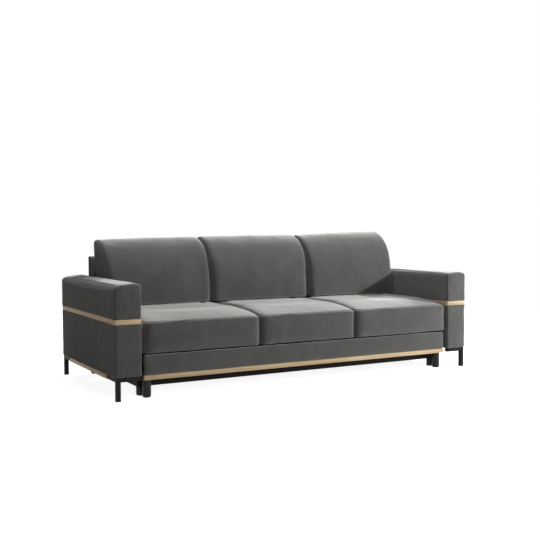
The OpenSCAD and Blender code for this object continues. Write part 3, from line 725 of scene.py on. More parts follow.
@dataclass
class SoftPiece:
    """A stuffed or padded piece on its way from a block to a sewn one."""

    obj: bpy.types.Object
    low: Vector
    high: Vector
    voxel: float = 0.009
    cap: float = 0.010
    pressure: float = 4.0
    fill: float = 0.7
    subdivide: bool = True
    ease_steps: int = 4
    seams: list[Seam] = field(default_factory=list)
    pinned: PointTest | None = None
    reach_x: Callable[[Vector], float] | None = None
    core: tuple[Vector, Vector] | None = None
    flat_reach: float = 0.02
    sink_share: float = 0.35

    def even_out(self) -> None:
        """Rebuild the block from even faces, which cloth needs."""
        remesh = self.obj.modifiers.new("even", "REMESH")
        remesh.mode = "VOXEL"
        remesh.voxel_size = self.voxel
        ease = self.obj.modifiers.new("ease", "SMOOTH")
        ease.factor = 0.5
        ease.iterations = self.ease_steps
        apply_all(self.obj)

    def in_core(self, point: Vector) -> bool:
        """Say whether a point lies on the hollow for the frame inside, which stays as it was cut."""
        return self.core is not None and all(self.core[0][k] <= point[k] <= self.core[1][k] for k in range(3))

    def hold_in(self) -> None:
        """Press the piece back between the planes of what it lies against."""
        for vertex in self.obj.data.vertices:
            for k in range(3):
                vertex.co[k] = min(max(vertex.co[k], self.low[k]), self.high[k])
            if self.reach_x is not None:
                reach = self.reach_x(vertex.co)
                vertex.co.x = min(max(vertex.co.x, -reach), reach)

    def add_cloth(self) -> None:
        """Make the piece cloth that air blows up from inside."""
        if self.pinned is not None:
            group = self.obj.vertex_groups.new(name="pins")
            held = [v.index for v in self.obj.data.vertices if self.pinned(v.co)]
            if held:
                group.add(held, 1.0, "REPLACE")
        cloth = self.obj.modifiers.new("cloth", "CLOTH")
        settings = cloth.settings
        settings.quality = 5
        settings.mass = 0.3
        settings.tension_stiffness = 15.0
        settings.compression_stiffness = 15.0
        settings.shear_stiffness = 10.0
        settings.bending_stiffness = 2.0
        settings.effector_weights.gravity = 0.0
        settings.use_pressure = True
        settings.uniform_pressure_force = self.pressure
        if self.pinned is not None:
            settings.vertex_group_mass = "pins"
        cloth.collision_settings.use_collision = False
        cloth.point_cache.frame_start = 1
        cloth.point_cache.frame_end = 30

    def finish_cloth(self, before: list[Vector]) -> None:
        """Take the blown-up shape, with no point further out than the cap.

        Args:
            before: Where each point was before the air came in.
        """
        activate(self.obj)
        bpy.ops.object.modifier_apply(modifier="cloth")
        for vertex, start in zip(self.obj.data.vertices, before):
            step = vertex.co - start
            if step.length > self.cap:
                vertex.co = start + step * (self.cap / step.length)
        if self.obj.vertex_groups:
            self.obj.vertex_groups.clear()

    def refine(self) -> None:
        """Halve the faces once, so that the weave of faces doesn't show."""
        if self.subdivide:
            fine = self.obj.modifiers.new("fine", "SUBSURF")
            fine.levels = fine.render_levels = 1
            apply_all(self.obj)

    def sew(self) -> None:
        """Cut fine loops along each seam, then pull them in and pucker the cloth beside them."""
        for seam in self.seams:
            self.cut_loops(seam)
        cloth = bmesh.new()
        cloth.from_mesh(self.obj.data)
        cloth.normal_update()
        moves: list[tuple[bmesh.types.BMVert, Vector]] = []
        for vertex in cloth.verts:
            if not self.in_core(vertex.co):
                moves.append((vertex, vertex.normal * sum(seam.step(vertex.co) for seam in self.seams)))
        for vertex, move in moves:
            vertex.co += move
        cloth.to_mesh(self.obj.data)
        cloth.free()

    def cut_loops(self, seam: Seam) -> None:
        """Cut the faces near a seam along planes close to it.

        Args:
            seam: The seam.
        """
        cut = bmesh.new()
        cut.from_mesh(self.obj.data)
        normal = seam.axis.unit()
        for share in seam.loop_shares:
            faces = [f for f in cut.faces if abs(seam.distance(f.calc_center_median())) < seam.loop_reach]
            edges = {e for f in faces for e in f.edges}
            verts = {v for f in faces for v in f.verts}
            bmesh.ops.bisect_plane(
                cut, geom=[*verts, *edges, *faces], dist=1e-5, plane_no=normal,
                plane_co=normal * (seam.place + share * seam.width),
            )
        cut.to_mesh(self.obj.data)
        cut.free()

    def soften(self, height: float, size: float, seed: float, still: tuple[float, ...] = ()) -> None:
        """Give the face the slight unevenness of stuffing under cloth.

        Args:
            height: How far the face moves at most.
            size: The width of one swell.
            seed: A shift of the pattern, so that no two pieces match.
            still: Levels where the piece meets wood or steel, and near which it lies flat.
        """
        mesh = self.obj.data
        mesh.calc_loop_triangles()
        normals = [v.normal.copy() for v in mesh.vertices]
        for vertex, normal in zip(mesh.vertices, normals):
            if self.in_core(vertex.co):
                continue
            share = min([1.0] + [abs(vertex.co.z - level) / self.flat_reach for level in still])
            swell = noise.noise(vertex.co / size + Vector((seed, seed * 0.7, -seed)))
            vertex.co += normal * (height * share * (swell - self.sink_share))

    def widen(self, side: int, width: float) -> None:
        """Let the piece reach further out on its own side of the sofa, where it has one."""
        self.low.x -= width if side < 0 else 0.0
        self.high.x += width if side > 0 else 0.0

    def dress(self, finish: Velvet, body: str, node: str, degrees: float = 60.0) -> None:
        """Dress the piece in velvet.

        Args:
            finish: Its velvet.
            body: The body that it rides on.
            node: The CAD node that it replaces.
            degrees: The angle over which its edges stay sharp.
        """
        dress(self.obj, finish, body, node, degrees)


def inflate(pieces: list[SoftPiece], frames: int = 20) -> None:
    """Blow up all soft pieces side by side.

    Args:
        pieces: The soft pieces, each ready for cloth.
        frames: How many steps the air has.
    """
    before = [[v.co.copy() for v in piece.obj.data.vertices] for piece in pieces]
    for piece in pieces:
        piece.add_cloth()
    scene = bpy.context.scene
    scene.frame_start, scene.frame_end = 1, frames + 5
    for number in range(1, frames + 1):
        scene.frame_set(number)
    for piece, start in zip(pieces, before):
        piece.finish_cloth(start)
    scene.frame_set(1)


def side_of(x: float) -> int:
    """Give 1 for a piece on the sofa's right, -1 for one on its left and 0 for one in its middle."""
    return 0 if abs(x) < 0.1 else int(math.copysign(1, x))


def quarter(first: float = 0.0, steps: int = 6) -> list[float]:
    """Give the angles along a quarter turn.

    Args:
        first: Where the turn starts, in degrees.
        steps: How many steps it has.

    Returns:
        The angles in radians.
    """
    return [math.radians(first + 90 * i / steps) for i in range(steps + 1)]


def foot_arc(front: float, foot: float, radius: float) -> Outline:
    """Round a cushion's lower front edge.

    Args:
        front: The place of its front.
        foot: The level of its foot.
        radius: The edge's radius.

    Returns:
        Points (y, z) from the foot up to the front.
    """
    return [
        (front + radius * (1 - math.cos(a)), foot + radius * (1 - math.sin(a))) for a in reversed(quarter())
    ]


def spread(points: Outline, pitch: float) -> Outline:
    """Add points to a closed outline so that none are further apart than a pitch.

    Args:
        points: The outline's corners, in order.
        pitch: The largest step along it.

    Returns:
        The finer outline.
    """
    result: Outline = []
    for (y0, z0), (y1, z1) in zip(points, points[1:] + points[:1]):
        steps = max(1, math.ceil(math.hypot(y1 - y0, z1 - z0) / pitch))
        result += [(y0 + (y1 - y0) * i / steps, z0 + (z1 - z0) * i / steps) for i in range(steps)]
    return result


def rounded_loop(
    low: tuple[float, float], high: tuple[float, float], radii: tuple[float, ...], pitch: float
) -> Outline:
    """Give a rectangle with its own radius at each corner.

    Args:
        low: Its low corner.
        high: Its high corner.
        radii: The radius at the low left, low right, high right and high left corner.
        pitch: The largest step along the outline.

    Returns:
        The outline's points, in order.
    """
    corners = [
        (low[0] + radii[0], low[1] + radii[0], 180), (high[0] - radii[1], low[1] + radii[1], 270),
        (high[0] - radii[2], high[1] - radii[2], 0), (low[0] + radii[3], high[1] - radii[3], 90),
    ]
    points: Outline = []
    for (x, y, first), radius in zip(corners, radii):
        points += [(x + radius * math.cos(a), y + radius * math.sin(a)) for a in quarter(first)]
    return spread(points, pitch)


def end_insets(half: float, reach: float, draw: float, pitch: float) -> Outline:
    """Give stations across a stuffed piece, closer together where its ends round off.

    Args:
        half: Half of the piece's width.
        reach: How far from the end the rounding starts.
        draw: How far the face falls back at the very end.
        pitch: The distance between stations in the middle.

    Returns:
        For each station, its distance from the middle and how far the face falls back there.
    """
    right = [
        (half - reach + reach * math.sin(a), (reach - reach * math.cos(a)) * draw / reach)
        for a in reversed(quarter())
    ]
    span = 2 * (half - reach)
    steps = max(2, round(span / pitch))
    middle = [(half - reach - span * i / steps, 0.0) for i in range(1, steps)]
    return [(-x, inset) for x, inset in right + middle] + right[::-1]


@dataclass(frozen=True)
class EndForm:
    """How one upright edge of a cushion rounds off, its foot draws in and its top corner falls."""

    reach: float
    draw: float
    pull: float = 0.0
    corner: float = 0.010


def two_ends(half: float, left: EndForm, right: EndForm, pitch: float) -> Outline:
    """Give stations across a cushion whose two ends round off differently.

    Args:
        half: Half of the cushion's width.
        left: The form of its left end.
        right: The form of its right end.
        pitch: The distance between stations in the middle.

    Returns:
        For each station, its distance from the middle and how far the face falls back there.
    """
    first = [place for place in end_insets(half, left.reach, left.draw, pitch) if place[0] < 0]
    last = [place for place in end_insets(half, right.reach, right.draw, pitch) if place[0] >= 0]
    return first + last


@dataclass
class SeatCushions:
    """The three loose seat cushions, each a box cushion with a crowned top and a seam round its top edge."""

    seam_rise: float = 0.170
    seam_setback: float = 0.004
    end_fall: float = 0.006
    end_power: float = 2.5
    end_drop: float = 0.25
    left_end: EndForm = EndForm(0.052, 0.034)
    right_end: EndForm = EndForm(0.030, 0.011)
    swell: float = 0.008
    side_play: float = 0.0025
    front_play: float = 0.008
    track_front: float = 0.170
    foot_radius: float = 0.010
    # How far the form may swell past its CAD box
    low_room: Triple = (0.001, 0.006, 0.0)
    high_room: Triple = (0.001, 0.0, 0.0)
    pin_reach: float = 0.006
    top_steps: int = 48
    top_power: float = 1.6
    front_roll_share: float = 0.34
    front_roll_power: float = 2.4
    rear_roll_share: float = 0.2
    rear_fall_share: float = 0.55
    pitch: float = 0.009
    station: float = 0.012
    names: tuple[str, ...] = ("left_seat_cushion", "middle_seat_cushion", "right_seat_cushion")

    def outline(self, low: Vector, high: Vector, share: float) -> Outline:
        """Give the side view of a cushion at a share of the way from its middle to its end.

        Args:
            low: The cushion's lowest corner.
            high: Its highest corner.
            share: The place across the cushion, from -1 to 1.

        Returns:
            Points (y, z) round the outline.
        """
        seam = low.z + self.seam_rise
        crown = high.z - seam - self.swell * 0.6 - self.end_fall * abs(share) ** self.end_power
        front, depth = low.y + self.seam_setback, high.y - low.y - self.seam_setback
        top: Outline = []
        for i in range(self.top_steps + 1):
            v = (i / self.top_steps) ** self.top_power
            front_fall = (1 - min(1.0, v / self.front_roll_share)) ** self.front_roll_power
            rear_fall = self.rear_fall_share * max(0.0, 1 - (1 - v) / self.rear_roll_share) ** 2
            top.append((front + depth * v, seam + crown * (1 - front_fall - rear_fall)))
        return spread([(high.y, low.z), *foot_arc(front, low.z, self.foot_radius), *top], self.pitch)

    def block(self, name: str) -> SoftPiece:
        """Loft one cushion before it is blown up.

        Args:
            name: The CAD node that the cushion replaces.

        Returns:
            The soft piece, with its seams and its limits.
        """
        low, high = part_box(name)
        middle, half = (low.x + high.x) / 2, (high.x - low.x) / 2
        depth, height = high.y - low.y, high.z - low.z
        rings: list[Ring] = []
        for x, inset in two_ends(half, self.left_end, self.right_end, self.station):
            rings.append([
                (
                    middle + x,
                    high.y - (high.y - y) * (1 - inset / depth),
                    low.z + (z - low.z) * (1 - self.end_drop * inset / height),
                )
                for y, z in self.outline(low, high, x / half)
            ])
        seam = low.z + self.seam_rise
        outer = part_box("right_seat_cushion")[1].x

        def at_seam(p: Vector) -> bool:
            """Say whether a point lies on the top seam or the bottom edge."""
            return abs(p.z - seam) < self.pin_reach or p.z < low.z + self.pin_reach

        def beside_arm(p: Vector) -> float:
            """Give how far out a cushion may reach, less at the rear where the guide tracks are."""
            return outer + (self.front_play if p.y < self.track_front else self.side_play)

        piece = SoftPiece(
            loft(f"{name}_velvet", rings), low - Vector(self.low_room), high + Vector(self.high_room),
            cap=self.swell, fill=0.75, pinned=at_seam, reach_x=beside_arm,
            seams=[Seam(Axis.Z, seam, depth=0.0035, width=0.0032, pucker=0.0012, wave=0.035)],
        )
        piece.widen(side_of(middle), self.front_play)
        return piece


@dataclass
class BackCushions:
    """The three loose wedge cushions: an upright rear, a full rounded front and a gusset at each end."""

    height_power: float = 2.7
    foot_share: float = 0.06
    face_steps: int = 60
    swell: float = 0.009
    foot_radius: float = 0.022
    gusset_inset: float = 0.008
    # How far the form may swell past its CAD box
    low_room: Triple = (0.001, 0.006, 0.0)
    high_room: Triple = (0.001, 0.0, 0.028)
    pin_reach: float = 0.006
    pin_foot: float = 0.034
    pin_head: float = 0.03
    pull_rate: float = 1.7
    side_play: float = 0.0055
    arm_top: float = 0.640
    over_arm: float = 0.010
    over_arm_rise: float = 0.20
    crest_rise: float = 0.004
    crest_ends: tuple[tuple[float, float], ...] = ((-0.034, -0.019), (-0.017, -0.013), (-0.016, 0.008))
    corner_from: float = 0.94
    corner_width: float = 0.06
    pitch: float = 0.010
    station: float = 0.012
    ends: tuple[tuple[EndForm, EndForm], ...] = (
        (EndForm(0.046, 0.042), EndForm(0.042, 0.022, 0.008)),
        (EndForm(0.046, 0.042, 0.002), EndForm(0.040, 0.022, 0.024)),
        (EndForm(0.038, 0.038), EndForm(0.026, 0.012, corner=-0.003)),
    )
    names: tuple[str, ...] = ("left_back_cushion", "middle_back_cushion", "right_back_cushion")
    bodies: tuple[str, ...] = ("left_loose_cushion", "middle_loose_cushion", "right_loose_cushion")

    def outline(self, low: Vector, high: Vector) -> Outline:
        """Give the side view of a cushion, a superellipse from its foot to its crest.

        Args:
            low: The cushion's lowest corner.
            high: Its highest corner.

        Returns:
            Points (y, z) round the outline.
        """
        depth = high.y - low.y - self.swell * 0.5
        foot = low.z + (high.z - low.z) * self.foot_share
        face = [
            (high.y - depth * math.cos(a), foot + (high.z - foot) * math.sin(a) ** (2 / self.height_power))
            for a in quarter(steps=self.face_steps)
        ]
        corner = foot_arc(high.y - depth, low.z, self.foot_radius)
        return spread([(high.y, low.z), *corner, *face], self.pitch)

    def crest(self, number: int, share: float) -> float:
        """Give how far a cushion's crest stands over its CAD level.

        Args:
            number: The cushion, counted from the left.
            share: The place across the cushion, from -1 to 1.

        Returns:
            The rise, or the fall where it is negative.
        """
        first, last = self.crest_ends[number]
        fall = self.ends[number][0 if share < 0 else 1].corner
        corner = fall * max(0.0, (abs(share) - self.corner_from) / self.corner_width) ** 2
        return first + (last - first) * (share + 1) / 2 + self.crest_rise * (1 - share * share) - corner

    def widening(self, share: float, z: float) -> float:
        """Give how far a cushion spreads over the arm beside it.

        Args:
            share: The place across the cushion, where 1 is the end beside the arm.
            z: The level.

        Returns:
            The widening, which is nothing below the arm's top.
        """
        over = min(1.0, max(0.0, (z - self.arm_top) / self.over_arm_rise))
        return self.over_arm * max(0.0, share) ** 3 * over

    def block(self, name: str) -> SoftPiece:
        """Loft one cushion before it is blown up.

        Args:
            name: The CAD node that the cushion replaces.

        Returns:
            The soft piece, with its seams and its limits.
        """
        low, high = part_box(name)
        middle, half = (low.x + high.x) / 2, (high.x - low.x) / 2
        depth, height = high.y - low.y, high.z - low.z
        number = self.names.index(name)
        left, right = self.ends[number]
        side = side_of(middle)
        edge = half - self.gusset_inset
        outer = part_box("right_back_cushion")[1].x + self.side_play
        outline = self.outline(low, high)
        rings: list[Ring] = []
        for x, inset in two_ends(half, left, right, self.station):
            share = x / half
            pull = (left if x < 0 else right).pull * share ** 3
            rise = self.crest(number, share)
            ring: Ring = []
            for y, z in outline:
                drawn = pull * min(1.0, self.pull_rate * (high.z - z) / height) * (high.y - y) / depth
                ring.append((
                    middle + x - drawn + side * self.widening(share * side, z),
                    high.y - (high.y - y) * (1 - inset / depth),
                    low.z + (z - low.z) * (1 + rise / height),
                ))
            rings.append(ring)

        def at_gusset(p: Vector) -> bool:
            """Say whether a point lies on a gusset's seam or on the rear's rim."""
            at_seam = abs(abs(p.x - middle) - edge) < self.pin_reach
            at_head = p.y > high.y - self.pin_reach and p.z > high.z - self.pin_head
            return at_seam or p.z < low.z + self.pin_foot or at_head

        def beside_arm(p: Vector) -> float:
            """Give how far out a cushion may reach, a little more over the arms than between them."""
            return outer + self.widening(1.0, p.z)

        piece = SoftPiece(
            loft(f"{name}_velvet", rings), low - Vector(self.low_room), high + Vector(self.high_room),
            cap=self.swell, pressure=4.5, fill=0.8, pinned=at_gusset, reach_x=beside_arm,
            seams=[
                Seam(Axis.X, place, depth=0.0016, width=0.003, pucker=0.0008)
                for place in (middle - edge, middle + edge)
            ],
        )
        piece.widen(side, self.side_play + self.over_arm)
        return piece


@dataclass
class Arm:
    """One box arm, modelled for the right side and mirrored to the left."""

    wall: float = 0.010
    play: float = 0.0003
    top_radius: float = 0.018
    foot_radius: float = 0.003
    crown: float = 0.008
    side_swell: float = 0.003
    overlap: float = 0.005
    left_tilt: float = 0.008
    right_tilt: float = -0.003
    corner_radius: float = 0.009
    draw_share: float = 0.8
    edge_reach: float = 0.005
    edge_draw: float = 0.003
    pitch: float = 0.010
    # How far the form may swell past its CAD box
    low_room: Triple = (0.0, 0.004, 0.0)
    high_room: Triple = (0.003, 0.004, 0.0)
    pin_edge: float = 0.010
    pin_foot: float = 0.007
    pin_head: float = 0.004
    seam_in: float = 0.007
    return_inset: float = 0.005
    mitre_gap: float = 0.00011
    oak_edge: float = 0.0010
    steel_edge: float = 0.0016
    steel_wall: float = 0.002
    glide_edge: float = 0.0012
    cutter_lead: float = 0.01

    def cavity(self, name: str, foot: float, head: float) -> bpy.types.Object:
        """Make the space that the arm's carcass fills.

        Args:
            name: The cutter's name.
            foot: Its lowest level.
            head: Its highest level.

        Returns:
            The cutter.
        """
        low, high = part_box("right_arm_frame")
        gap = Vector((self.play, self.play, 0.0))
        return new_box(name, Vector((low.x, low.y, foot)) - gap, Vector((high.x, high.y, head)) + gap)

    def lower_block(self) -> SoftPiece:
        """Loft the padded lower block, as one closed form."""
        low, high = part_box("right_arm_lower_cover")
        high.x += self.side_swell
        loop = rounded_loop((low.x, low.y), (high.x, high.y), (self.corner_radius,) * 4, self.pitch)
        middle = (low + high) / 2
        half = (high.z - low.z) / 2 + self.overlap
        rings: list[Ring] = []
        for z, inset in end_insets(half, self.edge_reach, self.edge_draw, self.pitch):
            shrink_x = 1 - 2 * inset / (high.x - low.x)
            shrink_y = 1 - 2 * inset / (high.y - low.y)
            rings.append([
                (middle.x + (x - middle.x) * shrink_x, middle.y + (y - middle.y) * shrink_y, middle.z + z)
                for x, y in loop
            ])
        return self.pad(loft("right_arm_lower_cover_velvet", rings), low, high, flat_head=True)

    def upper_block(self) -> SoftPiece:
        """Loft the padded upper block, as one closed form with a crowned top."""
        low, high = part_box("right_arm_upper_pad")
        high.x += self.side_swell
        radii = (self.foot_radius, self.foot_radius, self.top_radius, self.top_radius)
        loop = rounded_loop((low.x, low.z - self.overlap), (high.x, high.z - self.crown), radii, self.pitch)
        middle = (low + high) / 2
        half, height = (high.x - low.x) / 2, high.z - low.z
        rings: list[Ring] = []
        draw = self.corner_radius * self.draw_share
        for y, inset in end_insets((high.y - low.y) / 2, self.corner_radius, draw, self.pitch):
            ring: Ring = []
            for x, z in loop:
                across = (x - middle.x) / half
                lift = self.crown * (1 - across * across) * max(0.0, (z - low.z) / height) ** 3
                ring.append((
                    middle.x + (x - middle.x) * (1 - inset / half),
                    middle.y + y,
                    low.z + (z + lift - low.z) * (1 - inset / height),
                ))
            rings.append(ring)
        return self.pad(loft("right_arm_upper_pad_velvet", rings), low, high, flat_head=False)

    def pad(self, obj: bpy.types.Object, low: Vector, high: Vector, flat_head: bool) -> SoftPiece:
        """Set the seams, pins and limits that both of the arm's blocks share.

        Args:
            obj: The lofted block.
            low: Its lowest corner.
            high: Its highest corner.
            flat_head: Whether its head meets the oak band, and so stays flat.

        Returns:
            The soft piece.
        """

        def at_edge(p: Vector) -> bool:
            """Say whether a point lies on an upright corner or on the foot or head of the block."""
            ends = min(p.y - low.y, high.y - p.y) < self.pin_edge
            sides = min(p.x - low.x, high.x - p.x) < self.pin_edge
            at_head = flat_head and p.z > high.z - self.pin_head
            return (ends and sides) or p.z < low.z + self.pin_foot or at_head

        return SoftPiece(
            obj, low - Vector(self.low_room), high + Vector(self.high_room), voxel=0.0085, cap=0.005,
            pressure=3.0, fill=0.9, ease_steps=1, pinned=at_edge,
            seams=[
                Seam(Axis.Y, place, depth=0.0024, width=0.0028, pucker=0.0016, wave=0.022)
                for place in (low.y + self.seam_in, high.y - self.seam_in)
            ],
        )

    def oak_band(self) -> list[bpy.types.Object]:
        """Make the four slats of the oak band, mitred at the corners.

        Returns:
            The two long slats and the two short ones.
        """
        low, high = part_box("right_arm_oak_band")
        inner_low, inner_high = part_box("right_arm_frame")
        slats: list[bpy.types.Object] = []
        for axis, across in ((Axis.Y, Axis.X), (Axis.X, Axis.Y)):
            for at_low in (True, False):
                a, b = low.copy(), high.copy()
                k = across.value
                if at_low:
                    b[k] = inner_low[k]
                else:
                    a[k] = inner_high[k]
                slat = new_box("slat", a, b)
                for end in (-1, 1):
                    corner = Vector((low.x, low.y, 0)) if at_low else Vector((high.x, high.y, 0))
                    corner[axis.value] = (low if end < 0 else high)[axis.value]
                    outward = axis.unit() * end + across.unit() * (1 if at_low else -1)
                    cut_plane(slat, corner - outward * self.mitre_gap, outward, drop_outer=True)
                ease_edges(slat, self.oak_edge)
                slats.append(slat)
        return slats

    def tube(self, name: str, low: Vector, high: Vector, open_top: bool) -> bpy.types.Object:
        """Make a steel bar that is hollow from one end: a channel open to the top, or a leg open at its foot.

        Args:
            name: Its name.
            low: Its lowest corner.
            high: Its highest corner.
            open_top: Whether it is the channel.

        Returns:
            The hollow bar.
        """
        obj = new_box(name, low, high)
        up = 1 if open_top else -1
        closed_end = self.steel_wall * (1.0 if open_top else 1.5)
        choose(obj, Element.FACE, lambda face: face.normal.z * up > 0.9)
        bpy.ops.mesh.inset(thickness=self.steel_wall, depth=0.0)
        bpy.ops.mesh.extrude_region_move(
            TRANSFORM_OT_translate={"value": (0.0, 0.0, -up * (high.z - low.z - closed_end))}
        )
        leave_edit()

        def outside(p: Vector) -> bool:
            """Say whether a point lies on an upright corner, or on the closed foot of a channel."""
            corner = all(min(abs(p[k] - low[k]), abs(p[k] - high[k])) < RIM for k in range(2))
            return corner or (open_top and abs(p.z - low.z) < RIM)

        ease_edges(
            obj, self.steel_edge, lambda edge: is_sharp(edge) and all(outside(v.co) for v in edge.verts), 3
        )
        return obj

    def drill(self, holes: tuple[tuple[float, str], ...], foot: float, head: float) -> list[bpy.types.Object]:
        """Make cutters for the bolts and screws that pass the arm's inner padding between two levels.

        Args:
            holes: For each kind of fastener, its hole's radius and its CAD node.
            foot: The lowest level.
            head: The highest level.

        Returns:
            One rod for each fastener.
        """
        carcass_low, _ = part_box("right_arm_frame")
        rods: list[bpy.types.Object] = []
        for radius, node in holes:
            for y, z in solid_places(node, (Axis.Y, Axis.Z), FASTENER_REACH):
                if foot < z < head:
                    start = Vector((carcass_low.x - self.wall - self.cutter_lead, y, z))
                    end = Vector((carcass_low.x - self.play - RIM, y, z))
                    rods.append(new_rod("hole", radius, start, end, 16))
        return rods

    def mirrored(self, obj: bpy.types.Object, name: str) -> bpy.types.Object:
        """Copy a piece of the right arm to the left one, with a mesh of its own.

        Args:
            obj: The right arm's piece.
            name: The copy's name.

        Returns:
            The copy.
        """
        copy = obj.copy()
        copy.data = obj.data.copy()
        copy.name = copy.data.name = name
        bpy.context.scene.collection.objects.link(copy)
        copy.data.transform(Matrix.Scale(-1.0, 4, Axis.X.unit()))
        edit_all(copy)
        bpy.ops.mesh.flip_normals()
        leave_edit()
        return copy

    def dress_pair(self, obj: bpy.types.Object, node: str, ending: str, finish: Finish) -> None:
        """Copy a hard piece of the right arm to the left one and dress both.

        Args:
            obj: The right arm's piece.
            node: The CAD node that it replaces, without its side.
            ending: What the copy's name ends with, after the node.
            finish: The material of both.
        """
        left = self.mirrored(obj, f"left_{node}_{ending}")
        for piece, side in ((obj, Side.RIGHT), (left, Side.LEFT)):
            dress(piece, finish, "base", f"{side.word}_{node}")

    def hollow(self, piece: SoftPiece, foot: float, head: float) -> None:
        """Cut the space for the carcass and the holes for the fasteners out of one padded block.

        Args:
            piece: The blown-up block of the right arm.
            foot: The lowest level of the space.
            head: Its highest level.
        """
        holes = (BOLT_HOLE, "arm_bolts"), (SCREW_HOLE, "track_screws")
        rods = self.drill(holes, piece.low.z, piece.high.z)
        cutter = join("cutter", [self.cavity("cavity", foot, head), *rods])
        combine(piece.obj, cutter, Meeting.CUTS)
        piece.core = self.core(Side.RIGHT, foot, head)

    def hollow_both(self, lower: SoftPiece, upper: SoftPiece) -> None:
        """Hollow the lower block from end to end, and the upper one up to the carcass's top."""
        _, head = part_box("right_arm_frame")
        self.hollow(lower, lower.low.z - self.cutter_lead, lower.high.z + self.cutter_lead)
        self.hollow(upper, upper.low.z - self.cutter_lead, head.z + self.play)

    def finish_pads(self, lower: SoftPiece, upper: SoftPiece) -> None:
        """Copy the two padded blocks to the left arm, make all four uneven and dress them.

        Args:
            lower: The hollowed and sewn lower block.
            upper: The hollowed and sewn upper block.
        """
        for piece, node in ((lower, "arm_lower_cover"), (upper, "arm_upper_pad")):
            left = self.mirrored(piece.obj, f"left_{node}_velvet")
            for obj, side, seed in ((piece.obj, Side.RIGHT, 2.3), (left, Side.LEFT, 8.9)):
                core = self.core(side, piece.core[0].z, piece.core[1].z)
                pad = SoftPiece(obj, piece.low, piece.high, fill=piece.fill, core=core)
                if piece is upper:
                    self.tilt_top(pad, self.left_tilt if side is Side.LEFT else self.right_tilt)
                still = (piece.low.z,) if piece is upper else (piece.low.z, piece.high.z)
                pad.soften(0.0016, 0.16, seed + piece.low.z, still)
                pad.soften(0.0007, 0.045, seed * 2, still)
                pad.dress(VELVET_ARM, "base", f"{side.word}_{node}")

    def tilt_top(self, pad: SoftPiece, rise: float) -> None:
        """Raise one long edge of the arm's top over the other, as hand-stuffed padding lies.

        Args:
            pad: The upper pad of either arm, with the limits of the right one.
            rise: How far the inner edge rises, or falls where it is negative.
        """
        middle = (pad.low.x + pad.high.x) / 2
        half = (pad.high.x - pad.low.x) / 2
        for vertex in pad.obj.data.vertices:
            up = max(0.0, (vertex.co.z - pad.low.z) / (pad.high.z - pad.low.z))
            vertex.co.z += rise * up ** 3 * (middle - abs(vertex.co.x)) / half

    def core(self, side: Side, foot: float, head: float) -> tuple[Vector, Vector]:
        """Give the box round one arm's carcass that its padding's inner faces lie in.

        Args:
            side: The arm.
            foot: The box's lowest level.
            head: The box's highest level.

        Returns:
            Its lowest and highest corner.
        """
        low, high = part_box(f"{side.word}_arm_frame")
        spare = Vector((CORE_SPARE, CORE_SPARE, 0.0))
        return Vector((low.x, low.y, foot)) - spare, Vector((high.x, high.y, head + CORE_SPARE)) + spare

    def woodwork(self) -> None:
        """Make the oak bands and the inlays of both arms."""
        slats = self.oak_band()
        for slat, finish in zip(slats, (OAK_DEEP, OAK_DEEP, OAK_LONG, OAK_LONG)):
            slat.data.materials.append(finish.build())
        band = join("right_arm_oak_band_lacquered", slats)
        inlay = new_box("right_arm_oak_inlay_lacquered", *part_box("right_arm_oak_inlay"))
        ease_edges(inlay, self.oak_edge)
        self.dress_pair(band, "arm_oak_band", "lacquered", OAK_DEEP)
        self.dress_pair(inlay, "arm_oak_inlay", "lacquered", OAK_DEEP)

    def steelwork(self) -> None:
        """Make the base bars, their returns, the square legs and their glides for both arms."""
        low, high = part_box("right_arm_base_bar")
        bar = self.tube("right_arm_base_bar_coated", low, high, open_top=True)
        returns = self.bar_returns(low, high)
        legs, glides = self.leg_sets()
        self.dress_pair(bar, "arm_base_bar", "coated", POWDER_COAT)
        self.dress_pair(legs, "arm_legs", "coated", POWDER_COAT)
        for obj, name, finish, slot, node in (
            (returns, "arm_bar_returns_coated", POWDER_COAT, "dark_steel", "arm_bar_returns"),
            (glides, "arm_leg_glides_moulded", GLIDE_PLASTIC, "glide_plastic", "arm_leg_glides"),
        ):
            dress(join(name, [obj, self.mirrored(obj, "left")]), finish, "base", node)

    def bar_returns(self, bar_low: Vector, bar_high: Vector) -> bpy.types.Object:
        """Make the bars across the front and the rear of the right arm.

        Args:
            bar_low: The long bar's lowest corner.
            bar_high: Its highest corner.

        Returns:
            The two bars as one object.
        """
        low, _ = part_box("right_arm_lower_cover")
        width = bar_high.x - bar_low.x
        bars = []
        for y in (bar_low.y, bar_high.y - width):
            a = Vector((low.x + self.return_inset, y, bar_low.z))
            b = Vector((bar_low.x, y + width, bar_high.z))
            bars.append(self.tube("return", a, b, open_top=True))
        return join("right_returns", bars)

    def leg_sets(self) -> tuple[bpy.types.Object, bpy.types.Object]:
        """Make the right arm's two square legs and the glides in their feet.

        Returns:
            The legs as one object, and the glides as another.
        """
        low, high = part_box("right_arm_legs")
        width = high.x - low.x
        legs, glides = [], []
        for y in (low.y, high.y - width):
            a, b = Vector((low.x, y, low.z)), Vector((high.x, y + width, high.z))
            legs.append(self.tube("leg", a, b, open_top=False))
            glide = new_box("glide", Vector((low.x, y, 0.0)), Vector((high.x, y + width, low.z)))
            ease_edges(glide, self.glide_edge, sharp_at(0.0), 3)
            glides.append(glide)
        return join("right_arm_legs_coated", legs), join("right_glides", glides)


